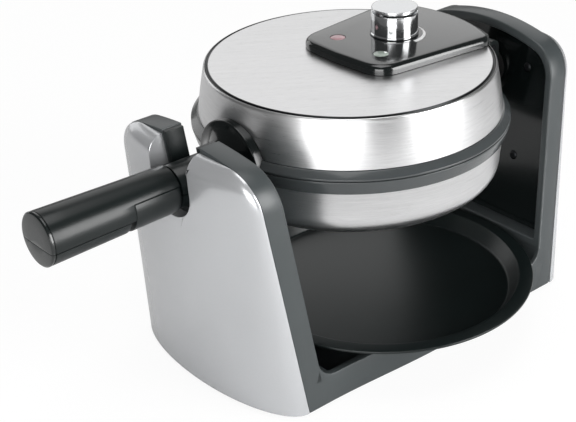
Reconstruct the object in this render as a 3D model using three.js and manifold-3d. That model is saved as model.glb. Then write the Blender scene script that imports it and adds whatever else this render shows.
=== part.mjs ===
// A rotating waffle maker: a round two-part baking drum that flips end over end between two towers.
// Millimetres, +Z up. The handle points along -Y, the hinge is at +Y and the open side faces +X.
import * as THREE from "three";
import { mergeVertices } from "three/addons/utils/BufferGeometryUtils.js";
import Module from "manifold-3d";

const wasm = await Module();
wasm.setup();

// General clearances
const seat = 0.3; // between pieces that rest on or in each other
const runningGap = 0.7; // between pieces that turn or slide
const overrun = 20; // how far a cutting shape reaches past what it cuts

// Facets round a full turn
const drumFacets = 44;
const innerFacets = 32;
const smallFacets = 16;
const screwFacets = 8;

// Drum, measured from the flip axis
const axisHeight = 144; // flip axis above the underside of the frame
const seamRise = 5.1; // plane where lid and bowl meet, above the flip axis
const ringRadius = 106.6; // widest radius of the drum
const ringTopDraft = 4.2; // how far the rings narrow away from the seam
const ringBottomDraft = 2.4;
const ringTopRadius = ringRadius - ringTopDraft;
const ringBottomRadius = ringRadius - ringBottomDraft;
const upperRingHeight = 5.3;
const lowerRingHeight = 9.6;
const ringWidth = 9.6;
const ringLedge = 2; // inside each ring, for the plate's flange
const ringInnerRadius = ringRadius - ringWidth;
const ringLedgeRadius = ringInnerRadius + ringLedge;
const ringLipHeight = 1;
const sheetWall = 1.3; // steel of both housings
const lidTopRise = 42.5; // top of the lid above the flip axis
const lidDraft = 6.4; // how far the lid narrows above its ring
const lidCreaseRadius = ringTopRadius - lidDraft;
const creaseWidth = 1.6;
const creaseDepth = 0.9;
const ringShoulder = 0.9; // width of the ring that shows beside the lid
const lidSkirtRadius = ringTopRadius - ringShoulder;
const bowlDrop = 38.5; // underside of the bowl below the flip axis
const bowlShoulder = 1.2; // width of the ring that shows beside the bowl
const bowlDraft = 2.5;
const bowlRimRadius = ringBottomRadius - bowlShoulder;
const bowlEdgeRadius = bowlRimRadius - bowlDraft;
const bowlFillet = 15;

// Waffle plates
const plateGap = 0.4; // round each plate's flange
const plateFlangeRadius = ringLedgeRadius - plateGap;
const plateFlangeHeight = 3.5;
const plateInset = 2; // of the plate's body inside the ring
const plateBodyRadius = ringInnerRadius - plateInset;
const plateWall = 4;
const cavityBorder = 8;
const cavityRadius = plateBodyRadius - cavityBorder;
const cavityDraft = 3;
const upperCavityDepth = 11.6;
const lowerCavityDepth = 14;
const gridPitch = 21;
const pegSide = 10;
const pegTopShare = 0.7;
const pegHeight = 8;
const divideHeight = 10;
const divideWidth = 5;

// Heating elements and the pans behind them
const elementInset = 25; // of the element's ring inside the cavity's edge
const elementRadius = cavityRadius - elementInset;
const elementTube = 3.3;
const elementTurn = Math.PI * 1.86;
const reflectorSheet = 0.8;
const reflectorInset = 5;
const reflectorRimRadius = plateBodyRadius - reflectorInset;
const reflectorRimWidth = 6;
const reflectorDepth = 8;

// Control panel on the lid
const panelFront = 7; // front edge ahead of the drum axis, on its top face
const panelFrontHalf = 36; // half width of the top face at its front corners
const panelRearHalf = 46;
const panelCorner = 13;
const panelBow = 2;
const panelBevel = 4;
const panelEdge = 2.7; // upright edge below the bevel
const panelRearInset = 4; // of the panel's rear edge inside the lid's crease
const panelRearRadius = lidCreaseRadius - panelRearInset;

// Knob
const knobOffset = 41; // behind the drum axis
const knobRadius = 16.4;
const knobFoot = 1.8;
const knobHeight = 15.5;
const knobWaist = 0.9;
const knobShadowGap = 1.1;
const knobCapHeight = 2.4;
const knobBore = 3.4;
const knobBoreDepth = 9;
const pointerRadius = 1.3;
const spindleRadius = 3;
const thermostatSide = 26;
const thermostatHeight = 8;

// Lamps
const lensRadius = 5;
const lensCrown = 0.7;
const lensDepth = 2.5;
const lensSpread = 20.7;
const lensOffset = 8.5;
const lampRadius = 2.4;
const lampLength = 10;
const fuseRadius = 2;
const fuseLength = 18;
const fuseOffset = 34;

// Handle
const journalRadius = 14.2;
const gripNeckRadius = 15.2;
const lockTravel = 4;
const slotRadius = 15.7;
const gripRadius = 17;
const capLength = 2.6;
const capLip = 0.2;
const partingDrop = 3.5; // parting line below the axis on the outer grip
const rootRise = 6.5; // parting line above the axis next to the tower
const undercutDepth = 3; // of the groove between the neck and the journal
const undercutWidth = 2;
const collarRadius = 29.5;
const collarTuck = 2.6; // of the collar's rim inside the ring's radius
const collarLength = 13.5;
const collarRim = ringRadius - collarTuck; // outboard plane of the rim, from the drum axis
const collarEnd = collarRim + collarLength;
const collarRoot = 10; // reach of the handle and collar under the drum's flank
const tongueHalf = 5.5;
const tongueHeight = 5;
const guideHalf = 5.5; // of the two T-shaped guides that carry the lock
const guideNeckHalf = 2.5;
const guideLength = 6;
const guideNeck = 2.5;
const guideHead = 2;

// Hinge and rear pivot
const hingeReach = 12.4; // hinge axis behind the rings
const hingeBack = ringRadius + hingeReach;
const hingeRise = 22; // hinge axis above the flip axis
const knuckleRadius = 6;
const knuckleHalf = 11.6;
const earWidth = 8;
const pinRadius = 2.4;
const pinGap = 0.4;
const bracketHalf = 24;
const bracketThick = 6;
const bracketDrop = 26;
const drapeHalf = 40;
const drapeThick = 5.5;
const drapeHeight = 20;
const trunnionRadius = 10.8;
const trunnionBore = 6;
const trunnionTail = 1.5; // of the trunnion beyond its clip
const clipGroove = 1;
const clipWidth = 2;
const clipRadius = 15;
const bushWall = 1.9;
const bushFlange = 4;

// Drip tray
const trayRadius = 105;
const trayRim = 8.7;
const trayDraft = 6.5;
const trayDepth = 14; // of the rim above the foot ring's underside
const trayPan = 10.5; // of the rim above the pan's underside
const trayFootRadius = 70; // of the ring that the tray rests on
const trayFootWidth = 4;
const traySheet = 1.7;
const trayShift = 25.5; // pushed in, its centre lies this far towards the open side
const trayBack = 4.5;
const railWidth = 5; // of the two rails under the tray
const railSpread = 42;
const railRoot = 1; // how far the rails reach into the trough's walls

// Frame
const footHeight = 2;
const footRadius = 9;
const footChamfer = 1;
const frameHalf = 82; // half width of the frame at its foot
const towerThick = 15;
const cradleClear = 1.5; // the cradle stops this far short of the tower's back face
const lipHeight = 20;
const trayRimHeight = lipHeight + seat + trayDepth;
const frontLean = 0.158; // outward shift of both towers' faces for each unit of height
const collarClear = 2.252; // between the collar and the front tower
const trayClear = 1.8;
const frontFoot = Math.max( // outer face of the front tower at its foot, ahead of the drum axis
  collarEnd + collarClear + towerThick - frontLean * axisHeight,
  trayRadius - trayBack + trayClear + towerThick - frontLean * trayRimHeight,
);
const frontRise = 30.5; // top of the front tower above the flip axis
const frontTop = axisHeight + frontRise;
const frontTopHalf = 69.5;
const frontSway = 4.5; // sideways shift of the front tower's crown
const rearLean = 0.155;
const hingeClear = 2; // of the rear tower's foot behind the hinge
const rearFoot = Math.max(
  hingeBack + hingeClear,
  trayRadius + trayBack + trayClear + towerThick - rearLean * trayRimHeight,
);
const rearRise = 36.5; // top of the rear tower above the flip axis
const rearTop = axisHeight + rearRise;
const rearTopHalf = 65;
const rearSway = 0;
const shoulderRadius = 26;
const frontCrown = 3.5; // rise of a tower's top at its middle
const rearCrown = 5.5;
const shellWall = 3;
const towerRim = 6;
const notchHalf = 19;
const notchBlock = 9;
const lipBow = 4.5; // of the long sides, at the middle
const lipThick = 6;
const troughFloor = 10;
const frameFloor = 7;
const innerFillet = 12;
const filletInset = 3; // of the corner fillets inside the frame's side
const windowSill = 36;
const windowDepth = 11;
const panelPlate = 3;
const bossRadius = 17;
const bossLength = 10;

// Tower covers
const coverWall = 2.4;
const coverBulge = 29; // at the foot
const coverTopBulge = 12;
const coverRows = 6;
const coverShoulderRows = 5;
const coverColumns = 14;
const coverTopShare = 0.35; // how far the last row stays short of the top, in rows
const mouthDepth = 13; // of the walls round the notch behind the front cover's face
const cradleWall = 3.5;
const cradleRise = 29; // of the cradle's top above the flip axis
const mouthRise = 6; // the same, inside the cover

// Places along the handle, ahead of the drum axis
const coverFaceAtAxis = frontFoot + frontLean * axisHeight
  + coverBulge + ((coverTopBulge - coverBulge) * axisHeight) / frontTop;
const journalClear = 1.777;
const neckLength = 33.2;
const gripLength = 56.3;
const guideStarts = [14, 42]; // of the lock's guides beyond the slot
const journalEnd = coverFaceAtAxis + journalClear;
const slotStart = journalEnd + neckLength; // inboard end of the lock slot
const gripEnd = slotStart + gripLength;
const guidePlaces = guideStarts.map((start) => slotStart + start);

// Base plate, screws, inlet
const basePlateThick = 2;
const basePlateGap = 1;
const footInset = 20;
const screwHead = 3.2;
const screwHeadHeight = 1.4;
const screwShank = 1.5;
const screwLength = 5;
const spotDepth = 0.8; // flat under each panel screw's head
const panelScrewSpread = 34;
const panelScrewRise = 6; // upper screws above the flip axis
const panelScrewHigh = axisHeight + panelScrewRise;
const panelScrewLow = 84;
const inletRadius = 6;
const inletFlange = 9.5;
const inletHeight = 24;
const inletNeck = 12;
const inletFlangeThick = 2.6;
const terminalLength = 40;
const terminalHeight = 16;
const terminalDepth = 11;
const terminalHeightUp = 46;

// Materials
const steel = { color: 0xb9bbbc, roughness: 0.32, metalness: 1 };
const chrome = { color: 0xd8dadb, roughness: 0.12, metalness: 1 };
const silverPaint = { color: 0xb4b8bb, roughness: 0.38, metalness: 0.6 };
const darkPlastic = { color: 0x43484a, roughness: 0.45, metalness: 0 };
const blackGloss = { color: 0x101414, roughness: 0.18, metalness: 0 };
const blackSatin = { color: 0x181c1c, roughness: 0.4, metalness: 0 };
const ringPlastic = { color: 0x4c5052, roughness: 0.25, metalness: 0 };
const castCoated = { color: 0x1c1d1d, roughness: 0.5, metalness: 0.2 };
const aluminium = { color: 0xa9acae, roughness: 0.45, metalness: 1 };
const elementSteel = { color: 0x5b5d5e, roughness: 0.5, metalness: 0.9 };
const rubber = { color: 0x1a1a1a, roughness: 0.9, metalness: 0 };
const nylon = { color: 0xdcd9cf, roughness: 0.5, metalness: 0 };
const screwSteel = { color: 0x8d8f90, roughness: 0.35, metalness: 1 };
const redLens = { color: 0xd98f92, roughness: 0.15, metalness: 0 };
const greenLens = { color: 0xbfd9c0, roughness: 0.15, metalness: 0 };
const ceramic = { color: 0xe9e6dc, roughness: 0.6, metalness: 0 };

// A closed geometry as a solid; a profile may run either way round.
function solid(geometry) {
  const bare = geometry.index ? geometry.toNonIndexed() : geometry.clone();
  bare.deleteAttribute("normal");
  bare.deleteAttribute("uv");
  const merged = mergeVertices(bare, 1e-4);
  const vertProperties = new Float32Array(merged.attributes.position.array);
  const triVerts = new Uint32Array(merged.index.array);
  const made = new wasm.Manifold(new wasm.Mesh({ numProp: 3, vertProperties, triVerts }));
  if (made.volume() >= 0) return made;
  for (let i = 0; i < triVerts.length; i += 3) {
    [triVerts[i + 1], triVerts[i + 2]] = [triVerts[i + 2], triVerts[i + 1]];
  }
  return new wasm.Manifold(new wasm.Mesh({ numProp: 3, vertProperties, triVerts }));
}

// A solid's surface as a geometry with normals.
function geometryOf(made) {
  const mesh = made.getMesh();
  const geometry = new THREE.BufferGeometry();
  geometry.setAttribute("position", new THREE.BufferAttribute(new Float32Array(mesh.vertProperties), 3));
  geometry.setIndex(new THREE.BufferAttribute(new Uint32Array(mesh.triVerts), 1));
  geometry.computeVertexNormals();
  return geometry;
}

function box(x, y, z) {
  const geometry = new THREE.BoxGeometry(x[1] - x[0], y[1] - y[0], z[1] - z[0]);
  return solid(geometry.translate((x[0] + x[1]) / 2, (y[0] + y[1]) / 2, (z[0] + z[1]) / 2));
}

// A block that is as wide on both sides of x = 0.
function block(half, y, z) {
  return box([-half, half], y, z);
}

// A solid of revolution about the Z axis from [radius, z] pairs.
function turned(profile, facets, x = 0, y = 0) {
  const points = profile.map(([radius, z]) => new THREE.Vector2(radius, z));
  const closed = profile[0][0] > 0;
  if (closed) points.push(points[0].clone());
  return solid(new THREE.LatheGeometry(points, facets).rotateX(Math.PI / 2).translate(x, y, 0));
}

// The same about a line along Y, from [radius, y] pairs.
function turnedAlongY(profile, facets, x = 0, z = 0) {
  const points = profile.map(([radius, y]) => new THREE.Vector2(radius, y));
  const closed = profile[0][0] > 0;
  if (closed) points.push(points[0].clone());
  return solid(new THREE.LatheGeometry(points, facets).translate(x, 0, z));
}

function rodZ(radius, z, facets, x = 0, y = 0) {
  return turned([[0, z[0]], [radius, z[0]], [radius, z[1]], [0, z[1]]], facets, x, y);
}

function rodY(radius, y, facets, x = 0, z = 0) {
  return turnedAlongY([[0, y[0]], [radius, y[0]], [radius, y[1]], [0, y[1]]], facets, x, z);
}

function rodX(radius, x, facets, y = 0, z = 0) {
  const geometry = new THREE.CylinderGeometry(radius, radius, x[1] - x[0], facets);
  return solid(geometry.rotateZ(Math.PI / 2).translate((x[0] + x[1]) / 2, y, z));
}

// An outline in X and Z drawn out along Y, and one in X and Y drawn out along Z.
function drawnAlongY(shape, y, curveSegments = 8) {
  const options = { depth: y[1] - y[0], bevelEnabled: false, curveSegments };
  return solid(new THREE.ExtrudeGeometry(shape, options).rotateX(Math.PI / 2).translate(0, y[1], 0));
}

function drawnAlongX(shape, x, curveSegments = 6) {
  const options = { depth: x[1] - x[0], bevelEnabled: false, curveSegments };
  const turn = new THREE.Matrix4().set(0, 0, 1, x[0], 1, 0, 0, 0, 0, 1, 0, 0, 0, 0, 0, 1);
  return solid(new THREE.ExtrudeGeometry(shape, options).applyMatrix4(turn));
}

function below(z) {
  const reach = (frameHalf + ringRadius) * 2;
  return box([-reach, reach], [-reach, reach], [z - reach, z]);
}

function above(z) {
  const reach = (frameHalf + ringRadius) * 2;
  return box([-reach, reach], [-reach, reach], [z, z + reach]);
}

// Rings of points of equal count joined into one closed skin, with a flat cap at each end.
function lofted(rings) {
  const count = rings[0].length;
  const position = rings.flat(2);
  const index = [];
  for (let r = 0; r + 1 < rings.length; r += 1) {
    for (let i = 0; i < count; i += 1) {
      const next = (i + 1) % count;
      const [a, b, c, d] = [r * count + i, r * count + next, (r + 1) * count + next, (r + 1) * count + i];
      index.push(a, b, c, a, c, d);
    }
  }
  const last = (rings.length - 1) * count;
  for (let i = 1; i + 1 < count; i += 1) {
    index.push(0, i + 1, i, last, last + i, last + i + 1);
  }
  const geometry = new THREE.BufferGeometry();
  geometry.setAttribute("position", new THREE.Float32BufferAttribute(position, 3));
  geometry.setIndex(index);
  return solid(geometry);
}

const appliance = new THREE.Group();
const frameGroup = new THREE.Group();
const drumGroup = new THREE.Group();
const lidGroup = new THREE.Group();
drumGroup.position.z = axisHeight;
drumGroup.add(lidGroup);
appliance.add(frameGroup, drumGroup);

function piece(group, name, made, look) {
  const mesh = new THREE.Mesh(geometryOf(made), new THREE.MeshStandardMaterial(look));
  mesh.name = name;
  group.add(mesh);
  return mesh;
}

// Drum skins

const upperSeam = seamRise + seat;
const lowerSeam = seamRise - seat;
const upperRingTop = upperSeam + upperRingHeight - seat;
const lowerRingFoot = lowerSeam - lowerRingHeight + seat;
const skirtFoot = upperRingTop + seat;
const bowlRim = lowerRingFoot - seat;

// Flank of the lid from its skirt up to its crease, grown by a gap.
function lidFlank(gap) {
  return [
    [lidSkirtRadius + gap, skirtFoot],
    [(lidCreaseRadius + lidSkirtRadius) / 2 + creaseDepth / 2 + gap, (lidTopRise + skirtFoot) / 2],
    [lidCreaseRadius + creaseDepth + gap, lidTopRise - creaseWidth * 2],
  ];
}

// Outer outline of each half, grown by a gap, as a full body to cut its neighbours with.
function lidEnvelope(gap) {
  return turned([
    [0, upperSeam - gap],
    [ringRadius + gap, upperSeam - gap],
    [ringRadius + gap, upperSeam + ringLipHeight + gap],
    [ringTopRadius + gap, upperRingTop + gap],
    ...lidFlank(gap),
    [lidCreaseRadius + gap, lidTopRise + gap],
    [0, lidTopRise + gap],
  ], drumFacets);
}

function bowlArc(inset) {
  const steps = 4;
  const points = [];
  for (let i = 0; i <= steps; i += 1) {
    const angle = (i / steps) * (Math.PI / 2);
    const reach = bowlFillet - inset;
    points.push([
      bowlEdgeRadius - bowlFillet + reach * Math.cos(angle),
      -bowlDrop + bowlFillet - reach * Math.sin(angle),
    ]);
  }
  return points;
}

function bowlEnvelope(gap) {
  return turned([
    [0, lowerSeam + gap],
    [ringRadius + gap, lowerSeam + gap],
    [ringRadius + gap, lowerSeam - ringLipHeight - gap],
    [ringBottomRadius + gap, lowerRingFoot - gap],
    [bowlRimRadius + gap, bowlRim - gap],
    ...bowlArc(-gap),
    [0, -bowlDrop - gap],
  ], drumFacets);
}

function upperHousing() {
  const skin = turned([
    [0, lidTopRise],
    [lidCreaseRadius - creaseWidth - creaseDepth, lidTopRise],
    [lidCreaseRadius - creaseWidth, lidTopRise - creaseDepth],
    [lidCreaseRadius - creaseDepth, lidTopRise - creaseDepth],
    [lidCreaseRadius, lidTopRise - creaseDepth / 2],
    ...lidFlank(0).reverse(),
    [lidSkirtRadius - sheetWall, skirtFoot],
    [lidCreaseRadius - sheetWall, lidTopRise - creaseDepth - sheetWall],
    [0, lidTopRise - creaseDepth - sheetWall],
  ], drumFacets);
  const reach = [skirtFoot, lidTopRise + overrun];
  let cut = rodZ(spindleRadius + runningGap, reach, smallFacets, 0, knobOffset);
  for (const side of [-1, 1]) {
    cut = cut.add(rodZ(lampRadius + runningGap, reach, smallFacets, side * lensSpread, lensOffset));
  }
  return skin.subtract(cut);
}

function lowerHousing() {
  return turned([
    [bowlRimRadius, bowlRim],
    ...bowlArc(0),
    [0, -bowlDrop],
    [0, -bowlDrop + sheetWall],
    ...bowlArc(sheetWall).reverse(),
    [bowlRimRadius - sheetWall, bowlRim],
  ], drumFacets);
}

function upperRing() {
  const ledge = upperSeam + plateFlangeHeight + seat;
  return turned([
    [ringLedgeRadius, upperSeam],
    [ringRadius, upperSeam],
    [ringRadius, upperSeam + ringLipHeight],
    [ringTopRadius, upperRingTop],
    [ringInnerRadius, upperRingTop],
    [ringInnerRadius, ledge],
    [ringLedgeRadius, ledge],
  ], drumFacets);
}

function lowerRing() {
  const ledge = lowerSeam - plateFlangeHeight - seat;
  return turned([
    [ringLedgeRadius, lowerSeam],
    [ringRadius, lowerSeam],
    [ringRadius, lowerSeam - ringLipHeight],
    [ringBottomRadius, lowerRingFoot],
    [ringInnerRadius, lowerRingFoot],
    [ringInnerRadius, ledge],
    [ringLedgeRadius, ledge],
  ], drumFacets);
}

// Waffle plate with its grid, for the side up = 1 (lid) or -1 (bowl).
function wafflePlate(up, seamPlane, depth) {
  const at = (distance) => seamPlane + up * distance;
  let plate = turned([
    [0, at(depth)],
    [cavityRadius - cavityDraft, at(depth)],
    [cavityRadius, at(0)],
    [plateFlangeRadius, at(0)],
    [plateFlangeRadius, at(plateFlangeHeight)],
    [plateBodyRadius, at(plateFlangeHeight)],
    [plateBodyRadius - cavityDraft, at(depth + plateWall)],
    [0, at(depth + plateWall)],
  ], innerFacets);
  const half = gridPitch / 2;
  const pegReach = cavityRadius - cavityDraft - pegSide;
  const lines = Math.ceil(pegReach / gridPitch);
  for (let i = -lines; i < lines; i += 1) {
    for (let j = -lines; j < lines; j += 1) {
      const x = half + i * gridPitch;
      const y = half + j * gridPitch;
      if (Math.hypot(x, y) < pegReach) plate = plate.add(peg(x, y, at(depth + seat), up));
    }
  }
  const root = at(depth + seat);
  const top = at(depth - divideHeight);
  const span = [Math.min(root, top), Math.max(root, top)];
  const reach = cavityRadius - cavityDraft;
  plate = plate.add(box([-reach, reach], [-divideWidth / 2, divideWidth / 2], span));
  return plate.add(box([-divideWidth / 2, divideWidth / 2], [-reach, reach], span));
}

function peg(x, y, root, up) {
  const geometry = new THREE.CylinderGeometry(
    (pegSide * pegTopShare) / Math.SQRT2, pegSide / Math.SQRT2, pegHeight, 4,
  );
  geometry.rotateY(Math.PI / 4).rotateX(Math.PI / 2 * -up);
  return solid(geometry.translate(x, y, root - (up * pegHeight) / 2));
}

function heatingElement(z) {
  const points = [];
  const steps = 24;
  for (let i = 0; i <= steps; i += 1) {
    const angle = Math.PI / 2 + (Math.PI * 2 - elementTurn) / 2 + (i / steps) * elementTurn;
    points.push(new THREE.Vector3(elementRadius * Math.cos(angle), elementRadius * Math.sin(angle), z));
  }
  return sweptTube(new THREE.CatmullRomCurve3(points), elementTube, steps, 6);
}

function sweptTube(path, radius, steps, sides) {
  const section = new THREE.Shape();
  for (let i = 0; i < sides; i += 1) {
    const angle = (i / sides) * Math.PI * 2;
    const [x, y] = [radius * Math.cos(angle), radius * Math.sin(angle)];
    if (i === 0) section.moveTo(x, y);
    else section.lineTo(x, y);
  }
  section.closePath();
  return solid(new THREE.ExtrudeGeometry(section, { steps, extrudePath: path }));
}

// Pan that throws heat back at the plate; rim is the plate's back face.
function reflector(up, rim) {
  const at = (distance) => rim + up * distance;
  const crown = reflectorRimRadius - reflectorRimWidth - reflectorDepth;
  return turned([
    [0, at(seat + reflectorDepth + reflectorSheet)],
    [crown, at(seat + reflectorDepth + reflectorSheet)],
    [reflectorRimRadius - reflectorRimWidth, at(seat + reflectorSheet)],
    [reflectorRimRadius, at(seat + reflectorSheet)],
    [reflectorRimRadius, at(seat)],
    [reflectorRimRadius - reflectorRimWidth - reflectorSheet, at(seat)],
    [crown - reflectorSheet, at(seat + reflectorDepth)],
    [0, at(seat + reflectorDepth)],
  ], innerFacets);
}

const upperPlateBack = upperSeam + upperCavityDepth + plateWall;
const lowerPlateBack = lowerSeam - lowerCavityDepth - plateWall;
const upperReflectorBack = upperPlateBack + seat + reflectorDepth + reflectorSheet;

piece(lidGroup, "upper_housing", upperHousing(), steel);
piece(lidGroup, "upper_ring", upperRing(), ringPlastic);
piece(lidGroup, "upper_waffle_plate", wafflePlate(1, upperSeam, upperCavityDepth), castCoated);
piece(lidGroup, "upper_heating_element", heatingElement(upperPlateBack + elementTube + seat), elementSteel);
piece(lidGroup, "upper_reflector", reflector(1, upperPlateBack), aluminium);
piece(drumGroup, "lower_housing", lowerHousing(), steel);
piece(drumGroup, "lower_ring", lowerRing(), ringPlastic);
piece(drumGroup, "lower_waffle_plate", wafflePlate(-1, lowerSeam, lowerCavityDepth), castCoated);
piece(drumGroup, "lower_heating_element", heatingElement(lowerPlateBack - elementTube - seat), elementSteel);
piece(drumGroup, "lower_reflector", reflector(-1, lowerPlateBack), aluminium);

// Control panel, knob and lamps

const panelFoot = lidTopRise + seat;
const panelTop = panelFoot + panelEdge + panelBevel - seat;

function panelOutline() {
  const rearHalfAngle = Math.asin(panelRearHalf / panelRearRadius);
  const rearY = panelRearRadius * Math.cos(rearHalfAngle);
  const outline = new THREE.Shape();
  outline.moveTo(panelFrontHalf, -panelFront + panelCorner);
  outline.lineTo(panelRearHalf, rearY);
  outline.absarc(0, 0, panelRearRadius, Math.PI / 2 - rearHalfAngle, Math.PI / 2 + rearHalfAngle, false);
  outline.lineTo(-panelFrontHalf, -panelFront + panelCorner);
  outline.quadraticCurveTo(-panelFrontHalf, -panelFront, -panelFrontHalf + panelCorner, -panelFront);
  outline.quadraticCurveTo(0, -panelFront - panelBow, panelFrontHalf - panelCorner, -panelFront);
  outline.quadraticCurveTo(panelFrontHalf, -panelFront, panelFrontHalf, -panelFront + panelCorner);
  return outline;
}

function controlPanel() {
  const geometry = new THREE.ExtrudeGeometry(panelOutline(), {
    depth: panelEdge,
    bevelSize: panelBevel,
    bevelThickness: panelBevel - seat,
    bevelSegments: 3,
    curveSegments: 6,
  });
  let slab = solid(geometry.translate(0, 0, panelFoot)).subtract(below(panelFoot));
  const reach = [panelFoot - overrun, panelTop + overrun];
  slab = slab.subtract(rodZ(spindleRadius + runningGap, reach, smallFacets, 0, knobOffset));
  for (const side of [-1, 1]) {
    const lamp = rodZ(lampRadius + runningGap, reach, smallFacets, side * lensSpread, lensOffset);
    const seatDepth = [panelTop - lensDepth - seat, panelTop + overrun];
    const recess = rodZ(lensRadius + seat, seatDepth, smallFacets, side * lensSpread, lensOffset);
    slab = slab.subtract(lamp).subtract(recess);
  }
  return slab;
}

function lens(side) {
  return turned([
    [0, panelTop - lensDepth],
    [lensRadius, panelTop - lensDepth],
    [lensRadius, panelTop],
    [lensRadius * 0.7, panelTop + lensCrown * 0.75],
    [0, panelTop + lensCrown],
  ], smallFacets, side * lensSpread, lensOffset);
}

function lamp(side) {
  const top = panelTop - lensDepth - seat;
  return turned([
    [0, top - lampLength],
    [lampRadius, top - lampLength],
    [lampRadius, top - lampRadius],
    [lampRadius / 2, top],
    [0, top],
  ], screwFacets, side * lensSpread, lensOffset);
}

const knobFootPlane = panelTop + seat;
const knobTop = knobFootPlane + knobHeight;

function knobBody() {
  const body = turned([
    [0, knobFootPlane],
    [knobRadius, knobFootPlane],
    [knobRadius, knobFootPlane + knobFoot],
    [knobRadius - knobWaist, knobFootPlane + knobFoot + knobWaist / 2],
    [knobRadius - knobWaist, knobTop - knobWaist],
    [knobRadius - knobWaist * 2, knobTop],
    [0, knobTop],
  ], innerFacets, 0, knobOffset);
  const bore = [knobFootPlane - overrun, knobFootPlane + knobBoreDepth];
  const pointer = [knobTop - pointerRadius * 3, knobTop + overrun];
  const stem = knobRadius - knobWaist * 2 - pointerRadius * 2;
  return body
    .subtract(rodZ(knobBore, bore, smallFacets, 0, knobOffset))
    .subtract(rodZ(knobBore, [knobTop - knobShadowGap, knobTop + overrun], smallFacets, 0, knobOffset))
    .subtract(rodZ(pointerRadius + seat, pointer, screwFacets, 0, knobOffset - stem));
}

function knobCap() {
  const foot = knobTop + knobShadowGap;
  const stem = knobBore - seat;
  return turned([
    [0, knobTop - knobShadowGap + seat],
    [stem, knobTop - knobShadowGap + seat],
    [stem, foot],
    [knobRadius - knobWaist, foot],
    [knobRadius - knobWaist / 2, foot + knobCapHeight / 2],
    [knobRadius - knobWaist, foot + knobCapHeight],
    [0, foot + knobCapHeight],
  ], innerFacets, 0, knobOffset);
}

function knobPointer() {
  const stem = knobRadius - knobWaist * 2 - pointerRadius * 2;
  const z = [knobTop - pointerRadius * 3 + seat, knobTop + knobShadowGap - seat];
  return rodZ(pointerRadius, z, screwFacets, 0, knobOffset - stem);
}

function thermostat() {
  const foot = upperReflectorBack + seat;
  const half = thermostatSide / 2;
  const body = box([-half, half], [knobOffset - half, knobOffset + half], [foot, foot + thermostatHeight]);
  const spindleTop = knobFootPlane + knobBoreDepth - seat;
  return body.add(rodZ(spindleRadius, [foot + seat, spindleTop], smallFacets, 0, knobOffset));
}

function thermalFuse() {
  const z = upperPlateBack + fuseRadius + seat;
  return rodX(fuseRadius, [-fuseLength / 2, fuseLength / 2], screwFacets, -fuseOffset, z);
}

piece(lidGroup, "control_panel", controlPanel(), blackGloss);
piece(lidGroup, "power_lens", lens(-1), redLens);
piece(lidGroup, "ready_lens", lens(1), greenLens);
piece(lidGroup, "power_lamp", lamp(-1), nylon);
piece(lidGroup, "ready_lamp", lamp(1), nylon);
piece(lidGroup, "thermostat", thermostat(), ceramic);
piece(lidGroup, "thermal_fuse", thermalFuse(), ceramic);
piece(lidGroup, "knob_body", knobBody(), chrome);
piece(lidGroup, "knob_cap", knobCap(), steel);
piece(lidGroup, "knob_pointer", knobPointer(), nylon);

// Handle: the long upper grip belongs to the lid, the short root below it to the bowl.

function handleBar(gap) {
  return turnedAlongY([
    [0, -gripEnd],
    [gripRadius - gap, -gripEnd],
    [slotRadius - gap, -slotStart],
    [gripNeckRadius - gap, -journalEnd],
    [journalRadius - undercutDepth - gap, -journalEnd],
    [journalRadius - undercutDepth - gap, -journalEnd + undercutWidth],
    [journalRadius - gap, -journalEnd + undercutWidth],
    [journalRadius - gap, -ringBottomRadius + collarRoot],
    [0, -ringBottomRadius + collarRoot],
  ], innerFacets);
}

const lockFace = slotStart + lockTravel; // inboard end of the lock at rest
const lockTail = gripEnd - seat;
const tongueTop = -partingDrop + seat * 2;
const tongueFoot = tongueTop - tongueHeight;
const guideStep = -partingDrop + guideNeck; // underside of the guides' heads

function clearOfDrum(made) {
  return made.subtract(lidEnvelope(seat)).subtract(bowlEnvelope(seat));
}

function upperHandle() {
  const reach = gripEnd + overrun;
  const wide = gripRadius + overrun;
  const outerCut = block(wide, [-reach, -slotStart], [-wide, -partingDrop]);
  const neckCut = block(wide, [-slotStart - seat, -journalEnd], [-wide, rootRise + seat / 2]);
  const journalCut = block(wide, [-journalEnd - overrun, reach], [-wide, seat / 2]);
  let made = handleBar(0).subtract(outerCut).subtract(neckCut).subtract(journalCut);
  for (const place of guidePlaces) {
    const y = [-place - guideLength - runningGap, -place + lockTravel + runningGap];
    const neck = block(guideNeckHalf + seat, y, [-partingDrop - overrun, guideStep + seat]);
    const chamber = block(guideHalf + seat, y, [guideStep - seat, guideStep + guideHead + seat]);
    made = made.subtract(neck).subtract(chamber);
  }
  return clearOfDrum(made);
}

function handleRoot() {
  const reach = gripEnd + overrun;
  const wide = gripRadius + overrun;
  const pocket = block(
    tongueHalf + seat,
    [-slotStart - overrun, -slotStart + lockTravel + tongueHeight],
    [tongueFoot - seat, tongueTop + seat],
  );
  return clearOfDrum(
    handleBar(0)
      .subtract(block(wide, [-reach, -slotStart], [-wide, wide]))
      .subtract(above(rootRise - seat / 2))
      .subtract(block(wide, [-journalEnd - seat, reach], [-seat / 2, wide]))
      .subtract(pocket),
  );
}

function handleLock() {
  const wide = gripRadius + overrun;
  const shell = handleBar(0)
    .subtract(above(-partingDrop - seat))
    .subtract(block(wide, [-lockFace, wide], [-wide, wide]))
    .subtract(block(wide, [-gripEnd - overrun, -lockTail], [-wide, wide]));
  const tongue = block(
    tongueHalf,
    [-lockFace - tongueHeight, -slotStart + seat],
    [tongueFoot, -partingDrop - seat],
  );
  let made = shell.add(tongue);
  for (const place of guidePlaces) {
    const y = [-place - guideLength, -place];
    made = made.add(block(guideNeckHalf, y, [-partingDrop - tongueHeight, guideStep + seat / 2]));
    made = made.add(block(guideHalf, y, [guideStep, guideStep + guideHead]));
  }
  return made;
}

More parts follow.
